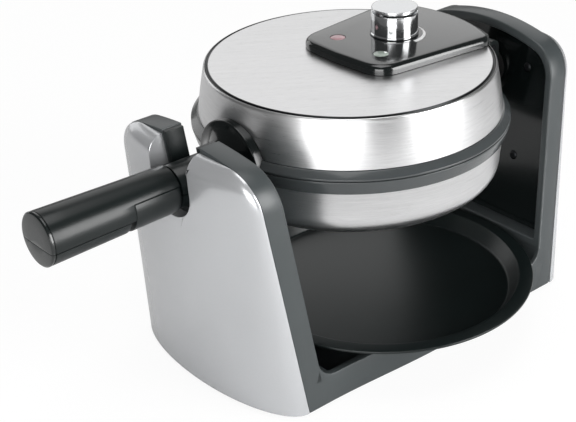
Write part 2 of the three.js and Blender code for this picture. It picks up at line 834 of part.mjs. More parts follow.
function endCap() {
  const foot = gripEnd + seat;
  return turnedAlongY([
    [0, -foot],
    [gripRadius + capLip, -foot],
    [gripRadius + capLip, -foot - capLength * 0.48],
    [gripRadius - capLip * 3, -foot - capLength * 0.7],
    [gripRadius * 0.6, -foot - capLength * 0.92],
    [0, -foot - capLength],
  ], innerFacets);
}

// Half of the flared collar between the drum and the front tower.
function collar(up) {
  const flare = collarRadius - journalRadius;
  const run = collarEnd - collarRim;
  const disc = turnedAlongY([
    [0, -ringBottomRadius + collarRoot],
    [collarRadius, -ringBottomRadius + collarRoot],
    [collarRadius, -collarRim],
    [collarRadius - flare * 0.1, -collarRim - run * 0.1],
    [collarRadius - flare * 0.5, -collarRim - run * 0.3],
    [collarRadius - flare * 0.8, -collarRim - run * 0.62],
    [collarRadius - flare * 0.95, -collarEnd],
    [0, -collarEnd],
  ], innerFacets);
  const half = up > 0 ? below(seat / 2) : above(-seat / 2);
  const bore = rodY(journalRadius + seat, [-gripEnd, gripEnd], innerFacets);
  const kept = clearOfDrum(disc.subtract(half).subtract(bore));
  return kept.decompose().sort((a, b) => b.volume() - a.volume())[0];
}

piece(lidGroup, "upper_handle", upperHandle(), blackSatin);
piece(drumGroup, "lower_handle_root", handleRoot(), blackSatin);
piece(lidGroup, "handle_lock", handleLock(), blackSatin);
piece(lidGroup, "handle_end_cap", endCap(), blackGloss);
piece(lidGroup, "upper_collar", collar(1), blackGloss);
piece(drumGroup, "lower_collar", collar(-1), blackGloss);

// Hinge at the back of the drum and the pivot that carries it

function pivotBracket() {
  const foot = hingeBack - knuckleRadius;
  const back = foot + bracketThick;
  const lower = block(bracketHalf, [bowlEdgeRadius - bowlFillet, back], [-bracketDrop, lowerSeam]);
  let made = clearOfDrum(lower);
  for (const side of [-1, 1]) {
    const inner = knuckleHalf + seat;
    const x = side > 0 ? [inner, inner + earWidth] : [-inner - earWidth, -inner];
    const upright = box(x, [foot, hingeBack + knuckleRadius], [-knuckleRadius, hingeRise]);
    made = made.add(upright).add(rodX(knuckleRadius, x, smallFacets, hingeBack, hingeRise));
  }
  const groove = clipAt();
  const trunnionEnd = groove[1] + trunnionTail;
  const trunnion = rodY(trunnionRadius, [foot, trunnionEnd], smallFacets * 2);
  const clipSeat = rodY(trunnionRadius + overrun, groove, smallFacets * 2)
    .subtract(rodY(trunnionRadius - clipGroove, groove, smallFacets * 2));
  made = made.add(trunnion).subtract(clipSeat);
  made = made.subtract(rodY(trunnionBore, [foot - overrun / 4, trunnionEnd + overrun], smallFacets));
  const pinHole = rodX(pinRadius + pinGap, [-bracketHalf, bracketHalf], smallFacets, hingeBack, hingeRise);
  return made.subtract(pinHole);
}

function hingePin() {
  const half = knuckleHalf + seat + earWidth + pinGap;
  return rodX(pinRadius, [-half, half], smallFacets, hingeBack, hingeRise);
}

function clipAt() {
  const end = bushEnd + seat;
  return [end, end + clipWidth + seat * 2];
}

function pivotClip() {
  const [start, end] = clipAt();
  return turnedAlongY([
    [trunnionRadius - clipGroove + seat, start + seat],
    [clipRadius, start + seat],
    [clipRadius, end - seat],
    [trunnionRadius - clipGroove + seat, end - seat],
  ], smallFacets * 2);
}

function hingeLeaf() {
  const armFoot = hingeRise - knuckleRadius;
  const arm = block(knuckleHalf, [lidCreaseRadius - drapeThick, hingeBack], [armFoot, hingeRise + knuckleRadius]);
  const knuckle = rodX(knuckleRadius, [-knuckleHalf, knuckleHalf], smallFacets, hingeBack, hingeRise);
  const drapeTop = panelFoot + panelEdge;
  const outer = lidSkirtRadius + drapeThick / 2;
  const drape = turned([
    [lidCreaseRadius - drapeThick, drapeTop - drapeHeight],
    [outer, drapeTop - drapeHeight],
    [lidCreaseRadius + drapeThick / 2, drapeTop],
    [lidCreaseRadius - drapeThick, drapeTop],
  ], drumFacets);
  const strip = drape.intersect(block(drapeHalf, [0, ringRadius], [0, lidTopRise * 2]));
  const pinHole = rodX(pinRadius + pinGap, [-bracketHalf, bracketHalf], smallFacets, hingeBack, hingeRise);
  const panelSpace = rodZ(panelRearRadius + panelBevel + seat, [lidTopRise, panelTop], drumFacets);
  return clearOfDrum(arm.add(knuckle).add(strip).subtract(pinHole).subtract(panelSpace));
}

const bushStart = rearFoot + rearLean * axisHeight - towerThick + windowDepth - bushFlange;
const bushEnd = bushStart + bossLength + bushFlange;

piece(drumGroup, "pivot_bracket", pivotBracket(), blackSatin);
piece(drumGroup, "hinge_pin", hingePin(), screwSteel);
piece(drumGroup, "pivot_clip", pivotClip(), screwSteel);
piece(lidGroup, "hinge_leaf", hingeLeaf(), blackSatin);

// Frame: two leaning towers on a trough

const frontTower = { foot: -frontFoot, lean: -frontLean, top: frontTop, half: frontTopHalf, sway: frontSway, crown: frontCrown };
const rearTower = { foot: rearFoot, lean: rearLean, top: rearTop, half: rearTopHalf, sway: rearSway, crown: rearCrown };

// Outline of a tower seen from the front, with an inset, standing on its foot height.
function towerOutline(tower, inset, foot) {
  const radius = shoulderRadius - inset;
  const shoulder = tower.top - tower.crown;
  const slope = (frameHalf - tower.half) / (shoulder - shoulderRadius);
  const spring = shoulder - inset - radius;
  const half = (height) => frameHalf - slope * height - inset;
  const middle = (height) => (tower.sway * height) / tower.top;
  const outline = new THREE.Shape();
  const flat = half(spring) - radius;
  const [arcRight, arcLeft] = [1, -1].map((side) => middle(spring) + side * flat);
  const rise = (tower.crown * 2) / flat; // slope at which the shoulder runs into the crown
  const bend = Math.atan(rise);
  const [aside, above] = [radius * Math.sin(bend), spring + radius * Math.cos(bend)];
  outline.moveTo(middle(foot) + half(foot), foot);
  outline.lineTo(middle(spring) + half(spring), spring);
  outline.absarc(arcRight, spring, radius, 0, Math.PI / 2 - bend, false);
  outline.quadraticCurveTo(middle(spring), above + rise * (flat + aside), arcLeft - aside, above);
  outline.absarc(arcLeft, spring, radius, Math.PI / 2 + bend, Math.PI, false);
  outline.lineTo(middle(foot) - half(foot), foot);
  return outline;
}

// Lean and place of a tower drawn upright with its outer face at y = 0.
function leanOf(tower) {
  return new THREE.Matrix4().makeShear(0, 0, 0, 0, 0, tower.lean).setPosition(0, tower.foot, 0);
}

// Outer face of a tower at a height.
function faceAt(tower, height) {
  return tower.foot + tower.lean * height;
}

function leaned(made, tower) {
  return solid(geometryOf(made).applyMatrix4(leanOf(tower)));
}

function notchSpace(half, y, top) {
  return rodY(half, y, smallFacets * 2, 0, axisHeight).add(block(half, y, [axisHeight, top]));
}

const notchReach = [-frontFoot - coverBulge - overrun, -frontFoot + overrun * 2];

// Space in the front tower's crown for the block that holds the notch, grown by a gap.
function bearingSpace(gap) {
  const half = notchHalf + notchBlock + gap;
  return block(half, [-overrun, towerThick + overrun], [axisHeight - half, frontTop + overrun]);
}

function frontShell() {
  const whole = drawnAlongY(towerOutline(frontTower, 0, 0), [0, towerThick]);
  const hollow = drawnAlongY(towerOutline(frontTower, towerRim, lipHeight), [-overrun, towerThick - shellWall]);
  return leaned(whole.subtract(hollow).subtract(bearingSpace(seat)), frontTower);
}

// Block in the front tower's crown, with the notch for the handle's journal.
function bearingBlock() {
  const whole = drawnAlongY(towerOutline(frontTower, 0, 0), [0, towerThick]);
  const made = leaned(whole.intersect(bearingSpace(0)), frontTower);
  return made.subtract(notchSpace(notchHalf, notchReach, frontTop + overrun));
}

function rearShell() {
  const whole = drawnAlongY(towerOutline(rearTower, 0, 0), [-towerThick, 0]);
  const window = drawnAlongY(towerOutline(rearTower, towerRim, windowSill), [-towerThick - overrun, overrun]);
  return leaned(whole.subtract(window), rearTower);
}

const innerFront = -frontFoot + towerThick;
const innerRear = rearFoot - towerThick;

function trough() {
  const [start, end] = [innerFront - shellWall, innerRear + shellWall];
  const outline = new THREE.Shape();
  outline.moveTo(frameHalf, start);
  outline.quadraticCurveTo(frameHalf + lipBow * 2, (start + end) / 2, frameHalf, end);
  outline.lineTo(-frameHalf, end);
  outline.quadraticCurveTo(-frameHalf - lipBow * 2, (start + end) / 2, -frameHalf, start);
  const outer = solid(new THREE.ExtrudeGeometry(outline, { depth: lipHeight, bevelEnabled: false, curveSegments: 8 }));
  const wall = frameHalf - lipThick;
  const channel = block(wall, [innerFront + lipThick, innerRear - lipThick], [troughFloor, lipHeight + overrun]);
  const underside = block(frameHalf - shellWall, [innerFront, innerRear], [-overrun, frameFloor]);
  let made = outer.subtract(channel).subtract(underside);
  for (const side of [-1, 1]) {
    const y = trayBack + side * railSpread;
    made = made.add(block(wall + railRoot, [y - railWidth / 2, y + railWidth / 2], [frameFloor + railRoot, lipHeight]));
  }
  return made;
}

// Rounded inner corner between a lip and a tower.
function cornerFillet(y, z, toward) {
  const shape = new THREE.Shape();
  const backing = towerThick - shellWall;
  shape.moveTo(y - toward * backing, z - shellWall);
  shape.lineTo(y + toward * innerFillet, z - shellWall);
  shape.lineTo(y + toward * innerFillet, z);
  const centre = [y + toward * innerFillet, z + innerFillet];
  const from = -Math.PI / 2;
  const to = toward > 0 ? -Math.PI : 0;
  shape.absarc(centre[0], centre[1], innerFillet, from, to, toward > 0);
  shape.lineTo(y - toward * backing, z + innerFillet);
  shape.closePath();
  return shape;
}

function frameShell() {
  let made = frontShell().add(rearShell()).add(trough());
  const shift = lipHeight * frontLean;
  for (const side of [-1, 1]) {
    const x = side > 0 ? [frameHalf - lipThick, frameHalf - filletInset] : [-frameHalf + filletInset, -frameHalf + lipThick];
    made = made.add(drawnAlongX(cornerFillet(innerFront - shift, lipHeight, 1), x));
    made = made.add(drawnAlongX(cornerFillet(innerRear + shift, lipHeight, -1), x));
  }
  return made.subtract(below(0));
}

// Bulged skin over a tower, thinned by an inset; open towards the tower and the ground when hollowed.
function coverBody(tower, inset, foot) {
  const shoulder = tower.top - tower.crown;
  const slope = (frameHalf - tower.half) / (shoulder - shoulderRadius);
  const spring = shoulder - shoulderRadius;
  const radius = shoulderRadius - inset;
  const heights = [];
  for (let i = 0; i < coverRows; i += 1) heights.push(foot + ((spring - foot) * i) / coverRows);
  for (let i = 0; i <= coverShoulderRows; i += 1) {
    heights.push(spring + radius * Math.sin((i / (coverShoulderRows + coverTopShare)) * (Math.PI / 2)));
  }
  const rings = heights.map((height) => {
    const rise = Math.max(0, height - spring);
    const drawIn = radius - Math.sqrt(Math.max(0, radius * radius - rise * rise));
    const half = frameHalf - slope * Math.min(height, spring) - inset - drawIn;
    const middle = (tower.sway * height) / tower.top;
    const bulge = coverBulge + ((coverTopBulge - coverBulge) * Math.max(0, height)) / tower.top - inset;
    const over = Math.min(1, Math.max(0, (height - shoulder + inset + coverTopBulge) / coverTopBulge));
    const depth = Math.max(bulge * Math.sqrt(1 - over * over), seat);
    const ring = [];
    for (let j = 0; j <= coverColumns; j += 1) {
      const angle = (j / coverColumns) * Math.PI;
      ring.push([middle + half * Math.cos(angle), -depth * Math.sin(angle), height]);
    }
    if (inset > 0) ring.push([middle - half, overrun, height], [middle + half, overrun, height]);
    return ring;
  });
  return lofted(rings);
}

function towerCover(tower) {
  const body = coverBody(tower, 0, 0);
  const room = coverBody(tower, coverWall, -overrun);
  return [body.subtract(room), body].map((made) => placedCover(made, tower));
}

function placedCover(made, tower) {
  const side = Math.sign(tower.foot);
  const turn = new THREE.Matrix4().makeScale(1, -side, 1).setPosition(0, side * seat, 0);
  return leaned(solid(geometryOf(made).applyMatrix4(turn)), tower);
}

// Skin of the front tower, with walls round the notch behind its mouth.
function frontCover() {
  const [skin, body] = towerCover(frontTower);
  const inner = [notchReach[0], coverFaceY() + mouthDepth];
  const walls = notchSpace(notchHalf + seat + coverWall, inner, frontTop).intersect(body);
  return skin.add(walls).subtract(notchSpace(notchHalf + seat, notchReach, frontTop + overrun));
}

// Face of the front cover at the height of the flip axis.
function coverFaceY() {
  const share = axisHeight / frontTop;
  return faceAt(frontTower, axisHeight) - coverBulge - (coverTopBulge - coverBulge) * share;
}

// Liner of the notch up to the cover's mouth, in which the handle's journal turns.
function journalCradle() {
  const outer = notchHalf - seat;
  const top = axisHeight + cradleRise;
  const sleeve = leaned(notchSpace(outer, [seat, towerThick - cradleClear], top), frontTower);
  const room = placedCover(coverBody(frontTower, seat, 0), frontTower);
  const mouth = leaned(notchSpace(outer, [-coverBulge, seat * 2], axisHeight + mouthRise), frontTower).intersect(room);
  return sleeve.add(mouth).subtract(notchSpace(outer - cradleWall, notchReach, frontTop + overrun));
}

function rearCover() {
  const inlet = rodY(inletRadius + seat, [rearFoot, rearFoot + coverBulge * 2], smallFacets, 0, inletHeight);
  return towerCover(rearTower)[0].subtract(inlet);
}

// Front of the recessed panel at a height.
function panelFaceAt(height) {
  return faceAt(rearTower, height) - towerThick + windowDepth;
}

function rearPanel() {
  const depth = [-towerThick + windowDepth, -towerThick + windowDepth + panelPlate];
  const boss = [bushStart + bushFlange - seat * 2, bushEnd - seat * 2];
  let made = leaned(drawnAlongY(towerOutline(rearTower, towerRim + seat, windowSill + seat), depth), rearTower);
  made = made.add(rodY(bossRadius, boss, smallFacets * 2, 0, axisHeight));
  made = made.subtract(rodY(trunnionRadius + bushWall + seat * 2, [innerRear, bushEnd + overrun], smallFacets * 2, 0, axisHeight));
  made = made.subtract(rodY(bossRadius * 1.2, [innerRear, boss[0]], smallFacets * 2, 0, axisHeight));
  for (const [x, height] of panelScrewPlaces) {
    const face = panelFaceAt(height);
    made = made.subtract(rodY(screwShank + seat, [face, face + overrun], screwFacets, x, height));
    made = made.subtract(rodY(screwHead + seat, [face - overrun, face + spotDepth], screwFacets, x, height));
  }
  return made;
}

function pivotBush() {
  const inner = trunnionRadius + seat;
  const outer = inner + bushWall;
  return turnedAlongY([
    [inner, bushStart],
    [outer + bushWall, bushStart],
    [outer + bushWall, bushStart + bushFlange / 2],
    [outer, bushStart + bushFlange / 2],
    [outer, bushEnd],
    [inner, bushEnd],
  ], smallFacets * 2, 0, axisHeight);
}

// A pan-head screw pointing up, with its head at the bottom.
function screw() {
  return turned([
    [0, 0],
    [screwHead * 0.7, 0],
    [screwHead, screwHeadHeight * 0.6],
    [screwHead, screwHeadHeight],
    [screwShank, screwHeadHeight],
    [screwShank, screwHeadHeight + screwLength],
    [0, screwHeadHeight + screwLength],
  ], screwFacets);
}

function cordInlet() {
  const share = inletHeight / rearTop;
  const face = faceAt(rearTower, inletHeight) + coverBulge + (coverTopBulge - coverBulge) * share;
  return rodY(inletRadius, [face - inletNeck, face + inletFlangeThick], smallFacets, 0, inletHeight)
    .add(rodY(inletFlange, [face + seat * 3, face + inletFlangeThick], smallFacets, 0, inletHeight))
    .subtract(rodY(inletRadius / 2, [face - inletNeck * 2, face + overrun], smallFacets, 0, inletHeight));
}

function terminalBlock() {
  const half = terminalLength / 2;
  const z = [terminalHeightUp - terminalHeight, terminalHeightUp];
  return leaned(block(half, [seat, seat + terminalDepth], z), rearTower);
}

function dripTray() {
  const floor = trayRimHeight - trayPan;
  const rimZ = trayRimHeight;
  const wallRadius = trayRadius - trayRim;
  const foot = lipHeight + seat;
  return turned([
    [0, floor],
    [trayFootRadius - trayFootWidth, floor],
    [trayFootRadius - trayFootWidth, foot],
    [trayFootRadius, foot],
    [trayFootRadius, floor],
    [wallRadius - trayDraft, floor],
    [wallRadius, rimZ],
    [trayRadius, rimZ],
    [trayRadius, rimZ + traySheet * 0.7],
    [trayRadius - traySheet * 0.7, rimZ + traySheet],
    [wallRadius - traySheet, rimZ + traySheet],
    [wallRadius - trayDraft - traySheet, floor + traySheet],
    [0, floor + traySheet],
  ], drumFacets, trayShift, trayBack);
}

function basePlate() {
  const half = frameHalf - shellWall - seat;
  const z = [basePlateGap, basePlateGap + basePlateThick];
  let made = block(half, [innerFront + seat, innerRear - seat], z);
  for (const [x, y] of footPlaces) {
    made = made.subtract(rodZ(screwShank + seat, [-overrun, overrun], screwFacets, x, y));
  }
  return made;
}

const footPlaces = [-1, 1].flatMap((side) => [
  [side * (frameHalf - footInset), innerFront + footInset],
  [side * (frameHalf - footInset), innerRear - footInset],
]);

function foot(x, y) {
  const top = basePlateGap - seat;
  return turned([
    [0, -footHeight],
    [footRadius - footChamfer, -footHeight],
    [footRadius, -footHeight + footChamfer],
    [footRadius, top],
    [0, top],
  ], smallFacets, x, y).subtract(rodZ(screwHead + seat, [-footHeight - overrun, top + overrun], smallFacets, x, y));
}

const panelScrewPlaces = [panelScrewHigh, panelScrewLow].flatMap((height) => [
  [panelScrewSpread, height],
  [-panelScrewSpread, height],
]);

piece(frameGroup, "frame_shell", frameShell(), darkPlastic);
piece(frameGroup, "bearing_block", bearingBlock(), darkPlastic);
piece(frameGroup, "front_tower_cover", frontCover(), silverPaint);
piece(frameGroup, "rear_tower_cover", rearCover(), silverPaint);
piece(frameGroup, "journal_cradle", journalCradle(), darkPlastic);
piece(frameGroup, "rear_inner_panel", rearPanel(), blackGloss);
piece(frameGroup, "pivot_bush", pivotBush(), nylon);
piece(frameGroup, "cord_inlet", cordInlet(), rubber);
piece(frameGroup, "terminal_block", terminalBlock(), nylon);
piece(frameGroup, "drip_tray", dripTray(), blackSatin);
piece(frameGroup, "base_plate", basePlate(), darkPlastic);
footPlaces.forEach(([x, y], i) => {
  piece(frameGroup, `foot_${i + 1}`, foot(x, y), rubber);
  const fixing = piece(frameGroup, `base_screw_${i + 1}`, screw(), screwSteel);
  fixing.position.set(x, y, basePlateGap - screwHeadHeight - seat);
});

panelScrewPlaces.forEach(([x, height], i) => {
  const head = piece(frameGroup, `panel_screw_${i + 1}`, screw(), screwSteel);
  head.rotation.x = -Math.PI / 2;
  head.position.set(x, panelFaceAt(height) + spotDepth - screwHeadHeight - seat, height);
});

// The origin lies under the middle of the whole part, on the ground.
const bounds = new THREE.Box3().setFromObject(appliance, true);
const middle = bounds.getCenter(new THREE.Vector3());
appliance.position.set(-middle.x, -middle.y, -bounds.min.z);
appliance.updateMatrixWorld(true);

export default appliance;
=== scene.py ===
import math
from types import SimpleNamespace

import bpy
from bpy.props import FloatProperty, FloatVectorProperty, PointerProperty
from mathutils import Matrix, Vector


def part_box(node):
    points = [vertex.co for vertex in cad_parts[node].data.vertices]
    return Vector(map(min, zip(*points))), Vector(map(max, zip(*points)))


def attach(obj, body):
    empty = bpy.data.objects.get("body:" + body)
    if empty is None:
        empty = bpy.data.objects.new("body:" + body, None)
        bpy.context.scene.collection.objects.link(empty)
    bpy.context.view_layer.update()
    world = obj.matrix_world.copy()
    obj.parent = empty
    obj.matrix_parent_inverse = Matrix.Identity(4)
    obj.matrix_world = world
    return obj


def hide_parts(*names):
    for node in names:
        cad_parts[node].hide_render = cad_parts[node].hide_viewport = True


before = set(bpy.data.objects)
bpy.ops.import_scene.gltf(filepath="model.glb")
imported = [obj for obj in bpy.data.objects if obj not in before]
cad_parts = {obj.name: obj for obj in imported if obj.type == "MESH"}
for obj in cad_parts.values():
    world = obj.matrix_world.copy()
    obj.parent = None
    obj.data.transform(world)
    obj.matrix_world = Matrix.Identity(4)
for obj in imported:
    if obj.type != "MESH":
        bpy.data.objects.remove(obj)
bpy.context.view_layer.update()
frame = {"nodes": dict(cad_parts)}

bl_info = {
    "name": "Rotating Waffle Maker",
    "version": (1, 0, 0),
    "blender": (4, 5, 0),
    "location": "3D View > Sidebar > Waffle Maker",
    "description": "Builds the pieces, finishes and stage of a rotating waffle maker",
    "category": "Object",
}

MM = 0.001
ring_low, ring_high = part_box("lower_ring")
AXIS_X, AXIS_Y = ((ring_low[i] + ring_high[i]) / 2 for i in (0, 1))
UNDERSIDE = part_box("frame_shell")[0][2]
FLIP_HEIGHT = 144  # flip axis above the frame's underside, in millimetres

ROUND = 128  # steps of a large turned piece
SMALL_ROUND = 64
REACH = 60  # how far a cutting shape goes past what it cuts
SEAT = 0.3  # between pieces that rest on each other
BRUSH_TURN = 35  # direction of the lid's brushing, in degrees about Z

# Heights and places that several pieces share, in millimetres
SEAM = FLIP_HEIGHT + 5.1  # between the rings of the lid and the bowl
LID_FOOT = FLIP_HEIGHT + 10.7
BOWL_TOP = FLIP_HEIGHT - 4.8
BOWL_RIM = 103  # radius of the bowl at its top
PANEL_FOOT = FLIP_HEIGHT + 42.8
PANEL_TOP = FLIP_HEIGHT + 49.2
TONGUE_HALF = 5.5  # half width of the lock's tongue and its guides
TONGUE_DEPTH = 4.4  # underside of the tongue below the parting
TRAY_PLACE = (25.5, 4.5)  # the tray's axis from the drum's axis
TROUGH_WALL = 6
TOWER_EDGE = 1.1  # rounding of the towers' edges


# Sizes and colours that a user may change


def length(name, description, millimetres):
    """A length property, given in millimetres and kept in metres."""
    return FloatProperty(
        name=name, description=description, default=millimetres * MM,
        min=0, unit="LENGTH", subtype="DISTANCE", precision=4,
    )


def colour(name, description, rgb):
    return FloatVectorProperty(
        name=name, description=description, default=rgb, size=3, min=0, max=1, subtype="COLOR",
    )


class DrumSizes(bpy.types.PropertyGroup):
    ring_radius: length("Ring radius", "Widest radius of the drum", 106.6)
    lid_rise: length("Lid rise", "Top of the lid above the flip axis", 42.5)
    lid_edge_radius: length("Lid edge radius", "Radius of the lid's top edge", 96)
    lid_skirt_radius: length("Lid skirt radius", "Radius at the foot of the lid's flank", 101.5)
    bowl_drop: length("Bowl drop", "Underside of the bowl below the flip axis", 38.5)
    bowl_radius: length("Bowl radius", "Radius of the bowl's side", 100.5)
    bowl_fillet: length("Bowl fillet", "Radius between the bowl's side and its underside", 15)
    sheet: length("Sheet", "Thickness of the steel sheet", 1.3)


class PanelSizes(bpy.types.PropertyGroup):
    front: length("Front edge", "Front edge ahead of the drum axis", 7)
    front_half: length("Front half width", "Half width of the top face at its front", 36)
    rear_half: length("Rear half width", "Half width of the top face at its rear", 46)
    rear_radius: length("Rear radius", "Radius of the rear edge about the drum axis", 92)
    bevel: length("Bevel", "Width of the rounded border", 4)
    knob_back: length("Knob place", "Knob axis behind the drum axis", 41)
    knob_radius: length("Knob radius", "Radius of the knob's foot", 16.4)
    knob_height: length("Knob height", "Height of the knob below its shadow gap", 15.5)
    lens_radius: length("Lens radius", "Radius of both lenses", 5)
    lens_spread: length("Lens spread", "Distance of each lens from the middle", 20.7)
    lens_back: length("Lens place", "Lenses behind the drum axis", 8.5)


class HandleSizes(bpy.types.PropertyGroup):
    journal_radius: length("Journal radius", "Radius where the handle turns in the front tower", 14.2)
    neck_radius: length("Neck radius", "Grip radius next to the tower", 15.2)
    slot_radius: length("Slot radius", "Grip radius at the lock's slot", 15.7)
    grip_radius: length("Grip radius", "Grip radius at its end", 17)
    journal_end: length("Journal end", "End of the journal from the drum axis", 151.5)
    slot_start: length("Slot start", "Start of the lock's slot from the drum axis", 184.7)
    slot_width: length("Slot width", "How far the lock can slide", 4)
    grip_end: length("Grip end", "End of the grip from the drum axis", 241)
    cap_length: length("Cap length", "Thickness of the end cap", 2.6)
    parting_drop: length("Parting drop", "Parting line below the handle's axis at the grip", 3.5)
    root_rise: length("Root rise", "Parting line above the handle's axis next to the tower", 6.5)
    collar_radius: length("Collar radius", "Radius of the flared collar", 29.5)


class FrameSizes(bpy.types.PropertyGroup):
    foot_half: length("Foot half width", "Half width of the frame at its foot", 82)
    tower_thick: length("Tower thickness", "Thickness of both towers' bands", 15)
    shoulder_radius: length("Shoulder radius", "Radius of the towers' shoulders", 26)
    front_crown: length("Front crown", "Rise of the front tower's top at its middle", 3.5)
    rear_crown: length("Rear crown", "Rise of the rear tower's top at its middle", 5.5)
    rim: length("Rim", "Width of a tower's rim, seen from the front", 6)
    notch_half: length("Notch half width", "Half width of the notch that carries the handle", 19)
    lip_height: length("Lip height", "Height of the trough's sides", 20)
    lip_bow: length("Lip bow", "How far the trough's sides bow out", 4.5)
    window_sill: length("Window sill", "Foot of the rear tower's window", 36)
    cover_bulge: length("Cover bulge", "Depth of a tower cover at its foot", 29)
    cover_top_bulge: length("Cover top bulge", "Depth of a tower cover at its top", 12)
    tray_radius: length("Tray radius", "Outer radius of the drip tray", 105)
    tray_rim: length("Tray rim", "Width of the drip tray's rim", 8.7)


class FinishColours(bpy.types.PropertyGroup):
    steel: colour("Brushed steel", "Lid and bowl", (0.78, 0.78, 0.785))
    chrome: colour("Bright metal", "Knob", (0.78, 0.79, 0.8))
    silver: colour("Silver paint", "Tower covers", (0.6, 0.61, 0.625))
    frame: colour("Dark plastic", "Frame with its bands and trough", (0.05, 0.058, 0.06))
    ring: colour("Ring plastic", "Both rings of the drum", (0.05, 0.056, 0.058))
    gloss: colour("Black gloss", "Panel, collar and recessed panel", (0.004, 0.006, 0.006))
    satin: colour("Black satin", "Handle", (0.005, 0.008, 0.008))
    tray: colour("Tray coating", "Drip tray", (0.006, 0.01, 0.01))
    red: colour("Red lens", "Lens of the power lamp", (0.6, 0.36, 0.39))
    green: colour("Green lens", "Lens of the ready lamp", (0.48, 0.55, 0.49))
    mark: colour("Marks", "Scale on the panel and pointer on the knob", (0.8, 0.8, 0.8))


def power(name, description, watts):
    return FloatProperty(name=name, description=description, default=watts, unit="POWER")


class StageSettings(bpy.types.PropertyGroup):
    front_power: power("Front lamp", "Power of the lamp at the handle side", 14)
    side_power: power("Side lamp", "Power of the lamp at the open side", 18)
    left_power: power("Left lamp", "Power of the lamp at the closed side", 2)
    back_power: power("Back lamp", "Power of the lamp behind the lid", 7.5)
    top_power: power("Top lamp", "Power of the lamp overhead", 6)
    world_strength: FloatProperty(
        name="Surroundings", description="Brightness of the surroundings", default=0.11,
    )
    lens: FloatProperty(name="Lens", description="Focal length of the camera", default=84.62, unit="CAMERA")


def in_millimetres(group):
    """The lengths of a property group, in millimetres."""
    keys = type(group).__annotations__
    return SimpleNamespace(**{key: getattr(group, key) / MM for key in keys})


# Modelling helpers


def spot(x, y, z):
    """The place of a point given in millimetres from the drum's axis and the frame's underside."""
    return Vector((AXIS_X + x * MM, AXIS_Y + y * MM, UNDERSIDE + z * MM))


def only(obj):
    """Leaves obj alone selected and active, in object mode."""
    if bpy.context.mode != "OBJECT":
        bpy.ops.object.mode_set(mode="OBJECT")
    bpy.ops.object.select_all(action="DESELECT")
    obj.select_set(True)
    bpy.context.view_layer.objects.active = obj


def trace(name, points):
    """Draws a line of edges through the points and stays in edit mode."""
    bpy.ops.object.select_all(action="DESELECT")
    bpy.ops.mesh.primitive_plane_add(size=MM, location=points[0])
    obj = bpy.context.object
    obj.name = name
    bpy.ops.object.transform_apply(location=True)
    bpy.ops.object.mode_set(mode="EDIT")
    bpy.ops.mesh.select_mode(type="VERT")
    bpy.ops.mesh.select_all(action="SELECT")
    bpy.ops.mesh.merge(type="CENTER")
    for start, end in zip(points, points[1:]):
        bpy.ops.mesh.extrude_vertices_move(TRANSFORM_OT_translate={"value": end - start})
    return obj


def close_mesh():
    """Merges doubles, turns the faces outwards and leaves edit mode."""
    bpy.ops.mesh.select_all(action="SELECT")
    bpy.ops.mesh.remove_doubles(threshold=0.01 * MM)
    bpy.ops.mesh.normals_make_consistent(inside=False)
    bpy.ops.object.mode_set(mode="OBJECT")


def spun(name, places, steps, centre, axis):
    """A line of places spun once about an axis."""
    obj = trace(name, places)
    bpy.ops.mesh.select_all(action="SELECT")
    bpy.ops.mesh.spin(steps=steps, angle=2 * math.pi, center=centre, axis=axis)
    close_mesh()
    return obj


def turned(name, profile, steps=ROUND, x=0, y=0):
    """A turned piece about an upright axis, from pairs of radius and height."""
    places = [spot(x + radius, y, height) for radius, height in profile]
    return spun(name, places, steps, spot(x, y, 0), (0, 0, 1))


def turned_along(name, profile, steps=SMALL_ROUND, height=FLIP_HEIGHT):
    """A turned piece about a line along Y, from pairs of radius and distance."""
    places = [spot(radius, along, height) for radius, along in profile]
    return spun(name, places, steps, spot(0, 0, height), (0, 1, 0))


def prism(name, outline, push):
    """A closed outline of places, filled and extruded by a push in millimetres."""
    obj = trace(name, [*outline, outline[0]])
    bpy.ops.mesh.select_all(action="SELECT")
    bpy.ops.mesh.remove_doubles(threshold=0.01 * MM)
    bpy.ops.mesh.edge_face_add()
    bpy.ops.mesh.extrude_region_move(TRANSFORM_OT_translate={"value": Vector(push) * MM})
    close_mesh()
    return obj


def lofted(name, low, high):
    """A body between two closed outlines that have as many places each."""
    bodies = []
    for outline in (low, high):
        bodies.append(trace(name, [*outline, outline[0]]))
        bpy.ops.object.mode_set(mode="OBJECT")
    body = merged(*bodies)
    only(body)
    bpy.ops.object.mode_set(mode="EDIT")
    bpy.ops.mesh.select_mode(type="EDGE")
    bpy.ops.mesh.select_all(action="SELECT")
    bpy.ops.mesh.remove_doubles(threshold=0.01 * MM)
    bpy.ops.mesh.select_all(action="SELECT")
    bpy.ops.mesh.bridge_edge_loops()
    bpy.ops.mesh.select_all(action="DESELECT")
    bpy.ops.mesh.select_non_manifold(extend=False)
    bpy.ops.mesh.edge_face_add()
    close_mesh()
    return body


def block(name, x, y, z):
    """A box between pairs of limits; used to cut or to add plain ribs."""
    low, high = (spot(*(limit[i] for limit in (x, y, z))) for i in (0, 1))
    bpy.ops.object.select_all(action="DESELECT")
    bpy.ops.mesh.primitive_cube_add(size=1, location=(low + high) / 2, scale=high - low)
    obj = bpy.context.object
    obj.name = name
    bpy.ops.object.transform_apply(location=True, scale=True)
    return obj


def modify(obj, kind, **settings):
    """Adds a modifier and applies it."""
    only(obj)
    bpy.ops.object.modifier_add(type=kind)
    modifier = obj.modifiers[-1]
    for key, value in settings.items():
        setattr(modifier, key, value)
    bpy.ops.object.modifier_apply(modifier=modifier.name)


def combine(obj, other, operation):
    """Joins, cuts or trims obj with another mesh, which is used up."""
    modify(obj, "BOOLEAN", operation=operation, object=other, solver="EXACT")
    only(other)
    bpy.ops.object.delete()


